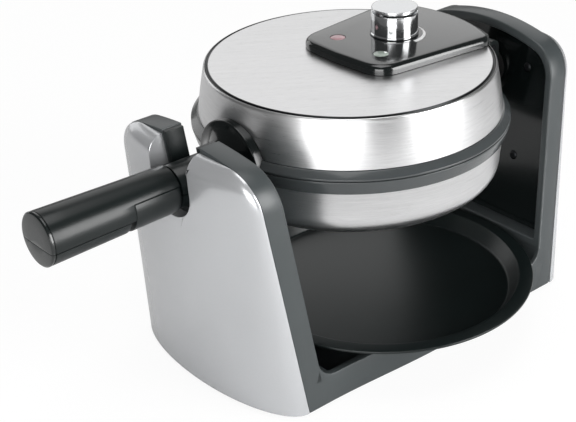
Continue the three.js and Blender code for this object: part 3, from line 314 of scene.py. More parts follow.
def soften(obj, width, segments=2, angle=40):
    modify(
        obj, "BEVEL", width=width * MM, segments=segments, limit_method="ANGLE",
        angle_limit=math.radians(angle), miter_outer="MITER_ARC",
    )


def slice_off(obj, place, normal):
    """Takes away what lies on the side that normal points to, and closes the cut."""
    only(obj)
    bpy.ops.object.mode_set(mode="EDIT")
    bpy.ops.mesh.select_all(action="SELECT")
    bpy.ops.mesh.bisect(plane_co=place, plane_no=normal, use_fill=True, clear_outer=True)
    bpy.ops.mesh.select_all(action="SELECT")
    bpy.ops.mesh.normals_make_consistent(inside=False)
    bpy.ops.object.mode_set(mode="OBJECT")


def merged(obj, *others):
    """Puts several meshes into one object."""
    only(obj)
    for other in others:
        other.select_set(True)
    bpy.ops.object.join()
    return obj


def settle(obj, body, slot, material, *nodes, angle=32):
    """Shades a finished piece, gives it its finish and fixes it to its body."""
    only(obj)
    bpy.ops.object.shade_smooth_by_angle(angle=math.radians(angle))
    obj.data.name = obj.name
    obj.data.materials.clear()
    obj.data.materials.append(material)
    if nodes:
        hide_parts(*nodes)
    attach(obj, body)


def arc(centre, radius, start, end, steps):
    """Points on an arc, in degrees."""
    angles = [math.radians(start + (end - start) * i / steps) for i in range(steps + 1)]
    return [(centre[0] + radius * math.cos(a), centre[1] + radius * math.sin(a)) for a in angles]


def curve(start, control, end, steps):
    """Points on a curve that bends towards its control point."""
    shares = [i / steps for i in range(steps + 1)]
    return [
        tuple((1 - t) ** 2 * a + 2 * t * (1 - t) * b + t * t * c for a, b, c in zip(start, control, end))
        for t in shares
    ]


def rounded(corners, steps=8):
    """An outline with its corners rounded, from x, y and the corner's radius."""
    points = []
    for i, (x, y, radius) in enumerate(corners):
        here = Vector((x, y))
        if radius == 0:
            points.append((x, y))
            continue
        before = (Vector(corners[i - 1][:2]) - here).normalized()
        after = (Vector(corners[(i + 1) % len(corners)][:2]) - here).normalized()
        half = before.angle(after) / 2
        reach = radius / math.tan(half)
        points += curve(here + before * reach, here, here + after * reach, steps)
    return points


# Finishes


class Signal:
    """A value in a node tree; arithmetic on it adds the nodes."""

    def __init__(self, graph, socket):
        self.graph = graph
        self.socket = socket

    def _math(self, operation, *values):
        return self.graph.node("ShaderNodeMath", {"operation": operation}, dict(enumerate(values)))

    def __add__(self, other):
        return self._math("ADD", self, other)

    __radd__ = __add__

    def __rsub__(self, other):
        return self._math("SUBTRACT", other, self)

    def __mul__(self, other):
        return self._math("MULTIPLY", self, other)

    def above(self, limit, width):
        """Runs from 0 to 1 as the value passes a limit."""
        inputs = {0: self, 1: limit - width / 2, 2: limit + width / 2, 3: 0, 4: 1}
        return self.graph.node("ShaderNodeMapRange", {"interpolation_type": "SMOOTHSTEP"}, inputs)


class Graph:
    """A node tree; node() adds a node and feeds its inputs."""

    def __init__(self, tree):
        self.tree = tree

    def feed(self, socket, value):
        if isinstance(value, Signal):
            self.tree.links.new(value.socket, socket)
        else:
            socket.default_value = value

    def node(self, kind, settings=None, inputs=None, output=0):
        made = self.tree.nodes.new(kind)
        for key, value in (settings or {}).items():
            setattr(made, key, value)
        for key, value in (inputs or {}).items():
            self.feed(made.inputs[key], value)
        return Signal(self, made.outputs[output])


class Finish(Graph):
    """A material: set() feeds its shader and dress() completes it."""

    def __init__(self, name, colour, **constants):
        self.material = bpy.data.materials.new(name)
        self.material.use_nodes = True
        self.colour = (*colour, 1)
        self.material.diffuse_color = self.colour
        super().__init__(self.material.node_tree)
        self.shader = self.tree.nodes["Principled BSDF"]
        self.set("Base Color", self.colour)
        for key, value in constants.items():
            self.set(key.replace("_", " ").title().replace("Ior", "IOR"), value)
        place = self.node("ShaderNodeTexCoord", output="Object")
        self.place = self.vector("SUBTRACT", place, spot(0, 0, 0))

    def set(self, key, value):
        self.feed(self.shader.inputs[key], value)

    def vector(self, operation, *values, output="Vector"):
        return self.node("ShaderNodeVectorMath", {"operation": operation}, dict(enumerate(values)), output)

    def radius(self, centre=(0, 0, 0)):
        """Distance from an upright axis through the centre, in millimetres."""
        across = self.vector("MULTIPLY", self.vector("SUBTRACT", self.place, centre), (1, 1, 0))
        return self.vector("LENGTH", across, output="Value") * (1 / MM)

    def height(self):
        """Height above the frame's underside, in millimetres."""
        return self.node("ShaderNodeSeparateXYZ", None, {0: self.place}, output=2) * (1 / MM)

    def mapped(self, scale, turn=0):
        """The place on the piece, turned about Z and stretched by a scale for each direction."""
        inputs = {"Vector": self.place, "Rotation": (0, 0, math.radians(turn))}
        turned_place = self.node("ShaderNodeMapping", {"vector_type": "POINT"}, inputs)
        return self.vector("MULTIPLY", turned_place, scale)

    def noise(self, scale, detail=2.0, roughness=0.5, turn=0):
        vector = self.mapped(scale if isinstance(scale, tuple) else (scale,) * 3, turn)
        inputs = {"Vector": vector, "Scale": 1.0, "Detail": detail, "Roughness": roughness}
        return self.node("ShaderNodeTexNoise", None, inputs)

    def cells(self, scale, output):
        inputs = {"Vector": self.mapped((scale,) * 3), "Scale": 1.0}
        return self.node("ShaderNodeTexVoronoi", None, inputs, output)

    def tint(self, amount, low, high):
        """The base colour made darker or lighter by an amount from 0 to 1."""
        dark, light = (tuple(min(1, c * share) for c in self.colour[:3]) + (1,) for share in (low, high))
        return self.blend(amount, dark, light)

    def blend(self, amount, first, second):
        return self.node("ShaderNodeMix", {"data_type": "RGBA"}, {0: amount, 6: first, 7: second}, output=2)

    def bump(self, height, distance, strength=0.5):
        """Raises the surface by a height from 0 to 1 times a distance in millimetres."""
        inputs = {"Height": height, "Distance": distance * MM, "Strength": strength}
        self.set("Normal", self.node("ShaderNodeBump", None, inputs))

    def dress(self, tone, roughness, relief):
        """Feeds the tone, the roughness and the relief to the shader and gives the material."""
        self.set("Base Color", tone if isinstance(tone, Signal) else self.tint(*tone))
        self.set("Roughness", roughness)
        self.bump(*relief)
        return self.material


def brushed(finish, fine, broad, cover=None):
    """Completes brushed steel from its fine and broad lines; cover is a share and a colour over them, such
    as the painted shade in the lid's groove.
    """
    lines = fine * 0.7 + broad * 0.3
    tone = finish.tint(lines, 0.66, 1.24)
    if cover:
        tone = finish.blend(cover[0], tone, cover[1])
    return finish.dress(tone, 0.2 + lines * 0.2, (fine, 0.02))


def lines_around(finish):
    """Fine and broad brushing around an upright axis."""
    return finish.noise((70, 70, 3600), 3, 0.7), finish.noise((24, 24, 620), 3, 0.6)


def lid_steel(colours):
    """Brushed steel with straight lines on top, lines around the flank and painted shade in the groove."""
    finish = Finish("brushed_steel_lid", colours.steel, metallic=1.0, roughness=0.3)
    radius = finish.radius()
    flank = radius.above(95.2, 1.0)
    straight = [
        finish.noise((3800, 150, 150), 3, 0.7, BRUSH_TURN), finish.noise((420, 30, 30), 3, 0.6, BRUSH_TURN),
    ]
    fine, broad = (
        finish.node("ShaderNodeMix", None, {0: flank, 2: across, 3: around})
        for across, around in zip(straight, lines_around(finish))
    )
    top = finish.height().above(FLIP_HEIGHT + 38, 1)
    # painted shade: a near-black ring laid over the brushing in the groove inside the lid's top edge, on
    # the top only
    groove = radius.above(93.2, 0.6) * (1 - radius.above(95.6, 0.6)) * top
    return brushed(finish, fine, broad, (groove, (0.03, 0.032, 0.033, 1)))


def bowl_steel(colours):
    finish = Finish("brushed_steel_bowl", colours.steel, metallic=1.0, roughness=0.3)
    return brushed(finish, *lines_around(finish))


def bright_metal(colours):
    """Polished metal with a faint turned texture."""
    finish = Finish("polished_knob_metal", colours.chrome, metallic=1.0, roughness=0.1)
    lines = finish.noise((60, 60, 3000))
    cloud = finish.noise(300)
    return finish.dress((lines, 0.85, 1.1), 0.07 + cloud * 0.09, (lines, 0.006, 0.4))


def knob_top_metal(colours, centre):
    """Metal turned in fine rings about the knob's axis."""
    finish = Finish("turned_knob_top", colours.chrome, metallic=1.0, roughness=0.25)
    inputs = {"W": finish.radius(centre) * 4, "Scale": 1.0, "Detail": 2.0}
    rings = finish.node("ShaderNodeTexNoise", {"noise_dimensions": "1D"}, inputs)
    return finish.dress((rings, 0.75, 1.2), 0.16 + rings * 0.16, (rings, 0.01))


def silver_paint(colours):
    """Metallic paint: fine flakes under a soft clear layer, with slight orange peel."""
    finish = Finish(
        "silver_paint", colours.silver, metallic=0.5, roughness=0.26, coat_weight=0.5, coat_roughness=0.08,
    )
    flake = finish.node("ShaderNodeSeparateColor", None, {0: finish.cells(4200, "Color")})
    cloud = finish.noise(18)
    peel = finish.noise(420)
    return finish.dress((flake * 0.4 + cloud * 0.6, 0.95, 1.05), 0.24 + flake * 0.03, (peel, 0.012))


def moulded(name, colour, roughness, grain=1500, depth=0.02, spread=0.12, **constants):
    """Moulded plastic with a fine grain, slight tone changes and faint rubbing."""
    finish = Finish(name, colour, roughness=roughness, **constants)
    fine = finish.noise(grain, 3, 0.6)
    cloud = finish.noise(35, 3)
    rub = finish.noise((30, 240, 90), 4, 0.7)
    worn = (roughness - spread / 2) + (rub * 0.6 + fine * 0.4) * spread
    return finish.dress((cloud * 0.6 + fine * 0.4, 0.82, 1.2), worn, (fine, depth))


def cast_coating(name, colour, roughness, depth=0.05):
    """Baked non-stick coating: fine pebbled surface with tiny lighter specks."""
    finish = Finish(name, colour, roughness=roughness, metallic=0.15)
    pebble = finish.noise(900, 4, 0.6)
    speck = 1 - finish.cells(1400, "Distance").above(0.16, 0.1)
    light = tuple(min(1, c * 2.4 + 0.01) for c in finish.colour[:3]) + (1,)
    tone = finish.blend(speck * 0.35, finish.tint(finish.noise(22, 3), 0.8, 1.25), light)
    return finish.dress(tone, (roughness - 0.06) + pebble * 0.12, (pebble, depth))


def plain_metal(name, colour, roughness, stretch=(500, 500, 500), darkening=0.7):
    """Unpolished metal with rolling or heat marks."""
    finish = Finish(name, colour, metallic=1.0, roughness=roughness)
    marks = finish.noise(stretch, 4, 0.65)
    stain = finish.noise(45, 3)
    tone = (marks * 0.5 + stain * 0.5, darkening, 1.2)
    return finish.dress(tone, (roughness - 0.08) + marks * 0.18, (marks, 0.02))


def lens_finish(name, colour):
    """Tinted lens with a fine frosting inside."""
    finish = Finish(name, colour, roughness=0.16, transmission_weight=0.35, ior=1.49, coat_weight=0.6)
    frost = finish.noise(900)
    return finish.dress((frost, 0.85, 1.15), 0.1 + frost * 0.14, (frost, 0.02))


# Pieces


class PieceOperator(bpy.types.Operator):
    bl_options = {"REGISTER", "UNDO"}


def lid_profile(drum):
    """Section of the lid: flat top, groove, shoulder, flank and the inside of the sheet."""
    rise, edge, skirt = FLIP_HEIGHT + drum.lid_rise, drum.lid_edge_radius, drum.lid_skirt_radius
    groove_foot, waist = rise - 0.9, 99.75
    brow = (edge + 0.9, rise - 3.2)
    groove = [
        (edge - 2.7, rise), (edge - 2.2, rise - 0.2),
        (edge - 1.8, groove_foot), (edge - 1.1, groove_foot - 0.05),
    ]
    shoulder = curve((edge - 0.4, rise - 0.45), (edge + 0.6, rise - 0.5), brow, 6)
    flank = curve(brow, (waist, rise - 17.5), (skirt, LID_FOOT), 14)
    under = groove_foot - drum.sheet
    inner = [(skirt - drum.sheet, LID_FOOT), (edge - drum.sheet, rise - 3), (edge - 4, under), (0, under)]
    return [(0, rise), (edge * 0.5, rise), (edge - 3.4, rise), *groove, *shoulder, *flank[1:], *inner]


class MakeLidShell(PieceOperator):
    """Brushed shell of the lid with a groove inside its top edge"""
    bl_idname = "waffle.lid_shell"
    bl_label = "Lid shell"

    def execute(self, context):
        drum = in_millimetres(context.scene.drum_sizes)
        lid = turned("lid_shell", lid_profile(drum), ROUND * 2)
        settle(lid, "lid", "steel", lid_steel(context.scene.finish_colours), "upper_housing", angle=28)
        return {"FINISHED"}


def bowl_corner(drum, grow=0, steps=14):
    """Rounded corner between the bowl's side and its underside, grown by an amount."""
    centre = (drum.bowl_radius - drum.bowl_fillet, FLIP_HEIGHT - drum.bowl_drop + drum.bowl_fillet)
    return arc(centre, drum.bowl_fillet + grow, 0, -90, steps)


class MakeBowlShell(PieceOperator):
    """Brushed bowl under the drum's seam"""
    bl_idname = "waffle.bowl_shell"
    bl_label = "Bowl shell"

    def execute(self, context):
        drum = in_millimetres(context.scene.drum_sizes)
        foot, rim, sheet = FLIP_HEIGHT - drum.bowl_drop, (BOWL_RIM, BOWL_TOP), drum.sheet
        side = curve(rim, (101.1, BOWL_TOP - 8), (drum.bowl_radius, foot + drum.bowl_fillet), 8)
        outside = [*side[:-1], *bowl_corner(drum), (60, foot), (0, foot)]
        inside = [(0, foot + sheet), *bowl_corner(drum, -sheet)[::-1], (BOWL_RIM - sheet, BOWL_TOP)]
        bowl = turned("bowl_shell", [*outside, *inside, outside[0]], ROUND * 2)
        finish = bowl_steel(context.scene.finish_colours)
        settle(bowl, "lower_drum", "steel", finish, "lower_housing", angle=28)
        return {"FINISHED"}


class MakeRings(PieceOperator):
    """Grey rings of the lid and the bowl, with rounded edges, on both sides of the seam"""
    bl_idname = "waffle.rings"
    bl_label = "Rings"

    def execute(self, context):
        radius = in_millimetres(context.scene.drum_sizes).ring_radius
        colour = context.scene.finish_colours.ring
        finish = moulded("ring_plastic", colour, 0.24, coat_weight=0.4, coat_roughness=0.08)
        bore, seat, step = 99, 97, 4.1
        for name, side, lip, corner, draft, height, body, node in (
            ("lid_ring", 1, 1.5, 0.5, 4.2, 5.3, "lid", "upper_ring"),
            ("bowl_ring", -1, 1.4, 0.6, 2.4, 9.6, "lower_drum", "lower_ring"),
        ):
            section = [
                (bore, SEAT, 0), (radius, SEAT, 0.35), (radius, lip, corner), (radius - draft, height, 0.9),
                (seat, height, 0), (seat, step, 0), (bore, step, 0),
            ]
            outline = rounded([(x, SEAM + side * offset, bend) for x, offset, bend in section], 4)
            ring = turned(name, [*outline, outline[0]], ROUND * 2)
            settle(ring, body, "ring_plastic", finish, node)
        return {"FINISHED"}


def panel_outline(panel, grow):
    """Outline of the control panel's top face, grown by an amount."""
    front, back = -panel.front - grow, panel.rear_radius + grow
    front_half, rear_half = panel.front_half + grow, panel.rear_half + grow
    front_corner, rear_corner = 15 + grow, 6 + grow
    bowed, drawn_back = front - 1.6, front + 0.4
    half_angle = math.degrees(math.asin(rear_half / back))
    rear = arc((0, 0), back, 90 - half_angle, 90 + half_angle, 20)
    corners = [
        (-front_half, drawn_back, front_corner), (0, bowed, 60), (front_half, drawn_back, front_corner),
        (*rear[0], rear_corner), *((x, y, 0) for x, y in rear[2:-2]), (*rear[-1], rear_corner),
    ]
    return rounded(corners, 12)


class MakeControlPanel(PieceOperator):
    """Raised black panel with a rounded border and two recesses for the lenses"""
    bl_idname = "waffle.control_panel"
    bl_label = "Control panel"

    def execute(self, context):
        panel = in_millimetres(context.scene.panel_sizes)
        outline = [spot(x, y, PANEL_FOOT) for x, y in panel_outline(panel, panel.bevel)]
        border_rise = 4.0
        slab = prism("control_panel_top", outline, (0, 0, PANEL_TOP - PANEL_FOOT - border_rise))
        self.round_border(slab, panel.bevel, border_rise)
        recess_foot, bore, mouth = PANEL_TOP - 2.8, panel.lens_radius + SEAT, panel.lens_radius + 0.7
        for side in (-1, 1):
            profile = [
                (0, recess_foot), (bore, recess_foot), (bore, PANEL_TOP - 0.4), (mouth, PANEL_TOP + REACH),
                (0, PANEL_TOP + REACH),
            ]
            recess = turned("recess", profile, SMALL_ROUND, side * panel.lens_spread, panel.lens_back)
            combine(slab, recess, "DIFFERENCE")
        finish = moulded(
            "gloss_panel", context.scene.finish_colours.gloss, 0.16, grain=700, depth=0.004, spread=0.06,
            coat_weight=0.7, coat_roughness=0.05,
        )
        settle(slab, "lid", "black_gloss", finish, "control_panel")
        return {"FINISHED"}

    def round_border(self, slab, width, rise):
        """Draws the top face in and up along a quarter round."""
        bpy.ops.object.mode_set(mode="EDIT")
        bpy.ops.mesh.select_all(action="DESELECT")
        bpy.ops.object.mode_set(mode="OBJECT")
        top = max(face.center.z for face in slab.data.polygons)
        for face in slab.data.polygons:
            face.select = face.center.z > top - 0.1 * MM
        bpy.ops.object.mode_set(mode="EDIT")
        steps = 7
        for i in range(steps):
            low, high = (math.radians(90 * share / steps) for share in (i, i + 1))
            inward = width * (math.cos(low) - math.cos(high))
            upward = rise * (math.sin(high) - math.sin(low))
            bpy.ops.mesh.inset(thickness=inward * MM, depth=upward * MM, use_boundary=True)
        close_mesh()


class MakeLenses(PieceOperator):
    """Red and green lens, slightly domed"""
    bl_idname = "waffle.lenses"
    bl_label = "Lenses"

    def execute(self, context):
        panel = in_millimetres(context.scene.panel_sizes)
        colours = context.scene.finish_colours
        top, radius, foot = PANEL_TOP, panel.lens_radius, PANEL_TOP - 2.5
        dome = curve((radius - 0.4, top + 0.1), (radius * 0.6, top + 0.72), (0, top + 0.7), 8)
        profile = [(0, foot), (radius, foot), (radius, top - 0.35), (radius - 0.1, top - 0.05), *dome]
        for side, name, tint, node in (
            (-1, "red_lens", colours.red, "power_lens"), (1, "green_lens", colours.green, "ready_lens"),
        ):
            lens = turned(name + "_dome", profile, SMALL_ROUND, side * panel.lens_spread, panel.lens_back)
            settle(lens, "lid", name, lens_finish(name, tint), node)
        return {"FINISHED"}


class MakeScale(PieceOperator):
    """Plain crescent printed beside the knob"""
    bl_idname = "waffle.scale"
    bl_label = "Crescent scale"

    def execute(self, context):
        panel = in_millimetres(context.scene.panel_sizes)
        inner_radius, thin, broad, first, sweep, steps = 19.2, 0.4, 2.6, -4, 92, 28
        height, thickness = PANEL_TOP + 0.02, 0.12
        outer, inner = [], []
        for i in range(steps + 1):
            angle = math.radians(first + sweep * i / steps)
            radius = inner_radius + thin + broad * (1 - i / steps)
            for line, reach in ((outer, radius), (inner, inner_radius)):
                x, y = reach * math.cos(angle), panel.knob_back + reach * math.sin(angle)
                line.append(spot(x, y, height))
        mark = prism("crescent_scale", [*outer, *inner[::-1]], (0, 0, thickness))
        finish = moulded("printed_mark", context.scene.finish_colours.mark, 0.45, grain=2200, depth=0.01)
        settle(mark, "lid", "nylon", finish)
        return {"FINISHED"}


class MakeKnob(PieceOperator):
    """Tall bright knob with a turned disc over a shadow gap"""
    bl_idname = "waffle.knob"
    bl_label = "Knob"

    def execute(self, context):
        panel = in_millimetres(context.scene.panel_sizes)
        colours = context.scene.finish_colours
        foot = PANEL_TOP + SEAT
        top = foot + panel.knob_height
        wide, waist = panel.knob_radius, panel.knob_radius - 0.5
        body = rounded([
            (0, foot, 0), (wide, foot, 0.3), (wide, foot + 1.2, 0.5), (waist, foot + 1.7, 0.3),
            (waist, top, 0.8), (6, top, 0), (0, top, 0),
        ], 5)
        knob = turned("knob_barrel", body, ROUND, 0, panel.knob_back)
        settle(knob, "knob", "chrome", bright_metal(colours), "knob_body")
        stem, low = 3.1, top + 1.1
        high = low + 2.4
        disc = rounded([
            (0, top - 0.6, 0), (stem, top - 0.6, 0), (stem, low, 0), (waist - 0.5, low, 0.3),
            (waist - 0.4, high, 0.7), (waist - 2.4, high, 0.3), (0, high - 0.2, 0),
        ], 5)
        cap = turned("knob_disc", disc, ROUND, 0, panel.knob_back)
        centre = Vector((0, panel.knob_back * MM, 0))
        settle(cap, "knob", "steel", knob_top_metal(colours, centre), "knob_cap")
        return {"FINISHED"}


def grip_radius_at(handle, along):
    """Radius of the handle at a distance from the drum axis."""
    if along <= handle.slot_start:
        share = (along - handle.journal_end) / (handle.slot_start - handle.journal_end)
        return handle.neck_radius + (handle.slot_radius - handle.neck_radius) * share
    share = (along - handle.slot_start) / (handle.grip_end - handle.slot_start)
    return handle.slot_radius + (handle.grip_radius - handle.slot_radius) * share


def bar(name, handle, start, end):
    """A length of the handle bar, closed at both ends."""
    steps = 6
    places = [end + (start - end) * i / steps for i in range(steps + 1)]
    outline = [(0, -end, 0), (grip_radius_at(handle, end), -end, 0.35)]
    outline += [(grip_radius_at(handle, place), -place, 0) for place in places[1:-1]]
    outline += [(grip_radius_at(handle, start), -start, 0.35), (0, -start, 0)]
    return turned_along(name, rounded(outline, 4))


def journal(name, handle):
    """The part of the handle that turns in the front tower, with an undercut next to the neck."""
    radius, start, end = handle.journal_radius, 107.2, handle.journal_end
    root, groove = radius - 3, 2
    return turned_along(name, [
        (0, -end - SEAT), (root, -end - SEAT), (root, groove - end), (radius, groove - end),
        (radius, -start), (0, -start),
    ])


class MakeHandle(PieceOperator):
    """Long grip of the lid, the short root under it and the sliding lock"""
    bl_idname = "waffle.handle"
    bl_label = "Handle and lock"

    def execute(self, context):
        handle = in_millimetres(context.scene.handle_sizes)
        finish = moulded(
            "satin_handle", context.scene.finish_colours.satin, 0.3, grain=1100, depth=0.008,
            specular_ior_level=0.4, coat_weight=0.1, coat_roughness=0.2,
        )
        parting = FLIP_HEIGHT - handle.parting_drop
        settle(self.grip(handle, parting), "lid", "black_satin", finish, "upper_handle")
        settle(self.root(handle, parting), "lower_drum", "black_satin", finish, "lower_handle_root")
        settle(self.lock(handle, parting), "lock", "black_satin", finish, "handle_lock")
        return {"FINISHED"}

    def ease(self, length_of_grip):
        """Rounds the ends and the parting edges."""
        soften(length_of_grip, 0.25, 2, 50)

    def grip(self, handle, parting):
        """Upper length of the handle, with room below it for the lock and the root."""
        slot, start, deep = handle.slot_start, handle.journal_end, FLIP_HEIGHT - REACH
        grip = bar("grip_upper", handle, start - 0.2, handle.grip_end)
        for along, top in (
            ((-handle.grip_end - REACH, -slot), parting),
            ((-slot - SEAT, -start + REACH), FLIP_HEIGHT + handle.root_rise + 0.2),
        ):
            combine(grip, block("room", (-REACH, REACH), along, (deep, top)), "DIFFERENCE")
        inner = journal("journal_upper", handle)
        slice_off(inner, spot(0, 0, FLIP_HEIGHT + 0.25), (0, 0, -1))
        self.ease(grip)
        self.ease(inner)
        return merged(grip, inner)

    def root(self, handle, parting):
        """Lower length next to the tower, with the pocket for the lock's tongue."""
        slot, pocket_depth, pocket_rise = handle.slot_start, 9, 0.9
        root = bar("grip_root", handle, handle.journal_end + SEAT, slot)
        slice_off(root, spot(0, 0, FLIP_HEIGHT + handle.root_rise - 0.2), (0, 0, 1))
        half, low = TONGUE_HALF + SEAT, parting - TONGUE_DEPTH - SEAT
        along = (-slot - REACH, -slot + pocket_depth)
        pocket = block("pocket", (-half, half), along, (low, parting + pocket_rise))
        combine(root, pocket, "DIFFERENCE")
        self.ease(root)
        lower = journal("journal_lower", handle)
        slice_off(lower, spot(0, 0, FLIP_HEIGHT - 0.25), (0, 0, 1))
        self.ease(lower)
        return merged(root, lower)

    def lock(self, handle, parting):
        """Lower shell of the grip, with its tongue and two T-shaped guides."""
        slot, top = handle.slot_start, parting - 0.45
        face = slot + handle.slot_width
        lock = bar("grip_lock", handle, face, handle.grip_end - SEAT)
        slice_off(lock, spot(0, 0, top), (0, 0, 1))
        self.ease(lock)
        half, tongue_root = TONGUE_HALF, face + 5
        tongue = block("tongue", (-half, half), (-tongue_root, -slot + SEAT), (parting - TONGUE_DEPTH, top))
        soften(tongue, 0.3)
        ribs = [tongue]
        neck_half, guide_length, guide_starts = 2.5, 6, (14, 42)
        for start in guide_starts:
            along = (-slot - start - guide_length, -slot - start)
            ribs.append(block("guide_neck", (-neck_half, neck_half), along, (parting - 5, parting + 2.6)))
            ribs.append(block("guide_head", (-half, half), along, (parting + 2.5, parting + 4.5)))
        return merged(lock, *ribs)


class MakeEndCap(PieceOperator):
    """Rounded end cap with the parting line across it"""
    bl_idname = "waffle.end_cap"
    bl_label = "Handle end cap"

    def execute(self, context):
        handle = in_millimetres(context.scene.handle_sizes)
        radius, foot = handle.grip_radius + 0.05, handle.grip_end + SEAT
        end = foot + handle.cap_length
        profile = rounded([
            (0, -foot, 0), (radius, -foot, 0.3), (radius, -end + 1.3, 0), (radius - 0.9, -end + 0.5, 0.9),
            (radius - 2.4, -end + 0.25, 0), (radius * 0.5, -end + 0.05, 0), (0, -end, 0),
        ], 6)
        parting = FLIP_HEIGHT - handle.parting_drop
        halves = []
        for side in (1, -1):
            half = turned_along("end_cap", profile)
            slice_off(half, spot(0, 0, parting + side * 0.12), (0, 0, -side))
            soften(half, 0.2, 2, 50)
            halves.append(half)
        cap = merged(*halves)
        cap.name = "grip_end_cap"
        finish = moulded(
            "gloss_cap", context.scene.finish_colours.satin, 0.2, grain=900, depth=0.006,
            coat_weight=0.5, coat_roughness=0.1,
        )
        settle(cap, "lid", "black_gloss", finish, "handle_end_cap")
        return {"FINISHED"}


def drum_space(drum):
    """The drum's outer form, slightly grown, to clear its neighbours with."""
    rise, lid_top, ring = FLIP_HEIGHT, FLIP_HEIGHT + drum.lid_rise + SEAT, drum.ring_radius + SEAT
    return turned("drum_space", [
        (0, lid_top), (drum.lid_edge_radius + 0.3, lid_top), (drum.lid_edge_radius + 1.3, rise + 39.3),
        (99.6, rise + 26.6), (101.9, LID_FOOT + 0.2), (102.9, LID_FOOT),
        (ring, rise + 7), (ring, rise + 3.4), (104.5, rise - 4.9), (103.3, rise - 5.1),
        *bowl_corner(drum, SEAT, 8), (0, rise - drum.bowl_drop - SEAT),
    ], ROUND)


class MakeCollars(PieceOperator):
    """Two halves of the flared collar between the drum and the front tower"""
    bl_idname = "waffle.collars"
    bl_label = "Flared collar"

    def execute(self, context):
        drum = in_millimetres(context.scene.drum_sizes)
        handle = in_millimetres(context.scene.handle_sizes)
        radius, bore = handle.collar_radius, handle.journal_radius + SEAT
        face, end, edge, bend = 94, 117.5, (radius - 0.9, -104.35), (18.2, -107.2)
        rim = curve((radius, -103.2), (radius + 0.05, -104.1), edge, 4)
        flare = curve(edge, bend, (15.1, -end), 16)
        profile = [(bore, -face), (radius, -face), *rim[:-1], *flare, (bore, -end)]
        finish = moulded(
            "gloss_collar", context.scene.finish_colours.gloss, 0.16, grain=600, depth=0.004, spread=0.05,
            specular_ior_level=0.4, coat_weight=0.2, coat_roughness=0.06,
        )
        for side, name, body, node in (
            (1, "collar_upper", "lid", "upper_collar"), (-1, "collar_lower", "lower_drum", "lower_collar"),
        ):
            half = turned_along(name, [*profile, profile[0]], ROUND)
            combine(half, drum_space(drum), "DIFFERENCE")
            slice_off(half, spot(0, 0, FLIP_HEIGHT + side * 0.15), (0, 0, -side))
            settle(half, body, "black_gloss", finish, node)
        return {"FINISHED"}


# Frame


def towers(sizes):
    """Both towers: foot and lean of the outer face, top, half width there and sideways shift."""
    front = SimpleNamespace(
        foot=-112, lean=-0.158, top=174.5, half=69.5, sway=4.5, side=-1, crown=sizes.front_crown,
    )
    rear = SimpleNamespace(foot=121, lean=0.155, top=180.5, half=65, sway=0, side=1, crown=sizes.rear_crown)
    for tower in (front, rear):
        tower.shoulder = tower.top - tower.crown
        tower.slope = (sizes.foot_half - tower.half) / (tower.shoulder - sizes.shoulder_radius)
    return front, rear


def on_face(tower, x, height, depth=0):
    """A place on a tower's outer face, or so deep in front of it along Y."""
    return spot(x, tower.foot + tower.lean * height + depth, height)


def tower_outline(sizes, tower, inset, foot):
    """Outline of a tower as pairs of x and height."""
    radius = sizes.shoulder_radius - inset
    spring = tower.shoulder - inset - radius
    middle = tower.sway * spring / tower.top
    half = sizes.foot_half - tower.slope * spring - inset
    right, left = middle + half - radius, middle - half + radius
    low_middle = tower.sway * foot / tower.top
    low_half = sizes.foot_half - tower.slope * foot - inset
    rise = tower.crown * 2 / (half - radius)
    bend = math.atan(rise)
    aside, above = radius * math.sin(bend), spring + radius * math.cos(bend)
    top = above + rise * (half - radius + aside)
    crown = curve((right + aside, above), (middle, top), (left - aside, above), 24)
    turn = math.degrees(bend)
    return [
        (low_middle + low_half, foot), *arc((right, spring), radius, 0, 90 - turn, 16)[:-1], *crown,
        *arc((left, spring), radius, 90 + turn, 180, 16)[1:], (low_middle - low_half, foot),
    ]


def tower_slab(name, sizes, tower, inset, foot, start, end):
    """A tower's outline as a slab between two depths from its outer face."""
    outline = [on_face(tower, x, height, start) for x, height in tower_outline(sizes, tower, inset, foot)]
    return prism(name, outline, (0, end - start, 0))


def notch_space(half, start, end, top):
    """The upright slot with a round bed that holds the handle."""
    bed = arc((0, FLIP_HEIGHT), half, -180, 0, 32)
    outline = [(-half, top), *bed, (half, top)]
    return prism("notch_space", [spot(x, start, height) for x, height in outline], (0, end - start, 0))


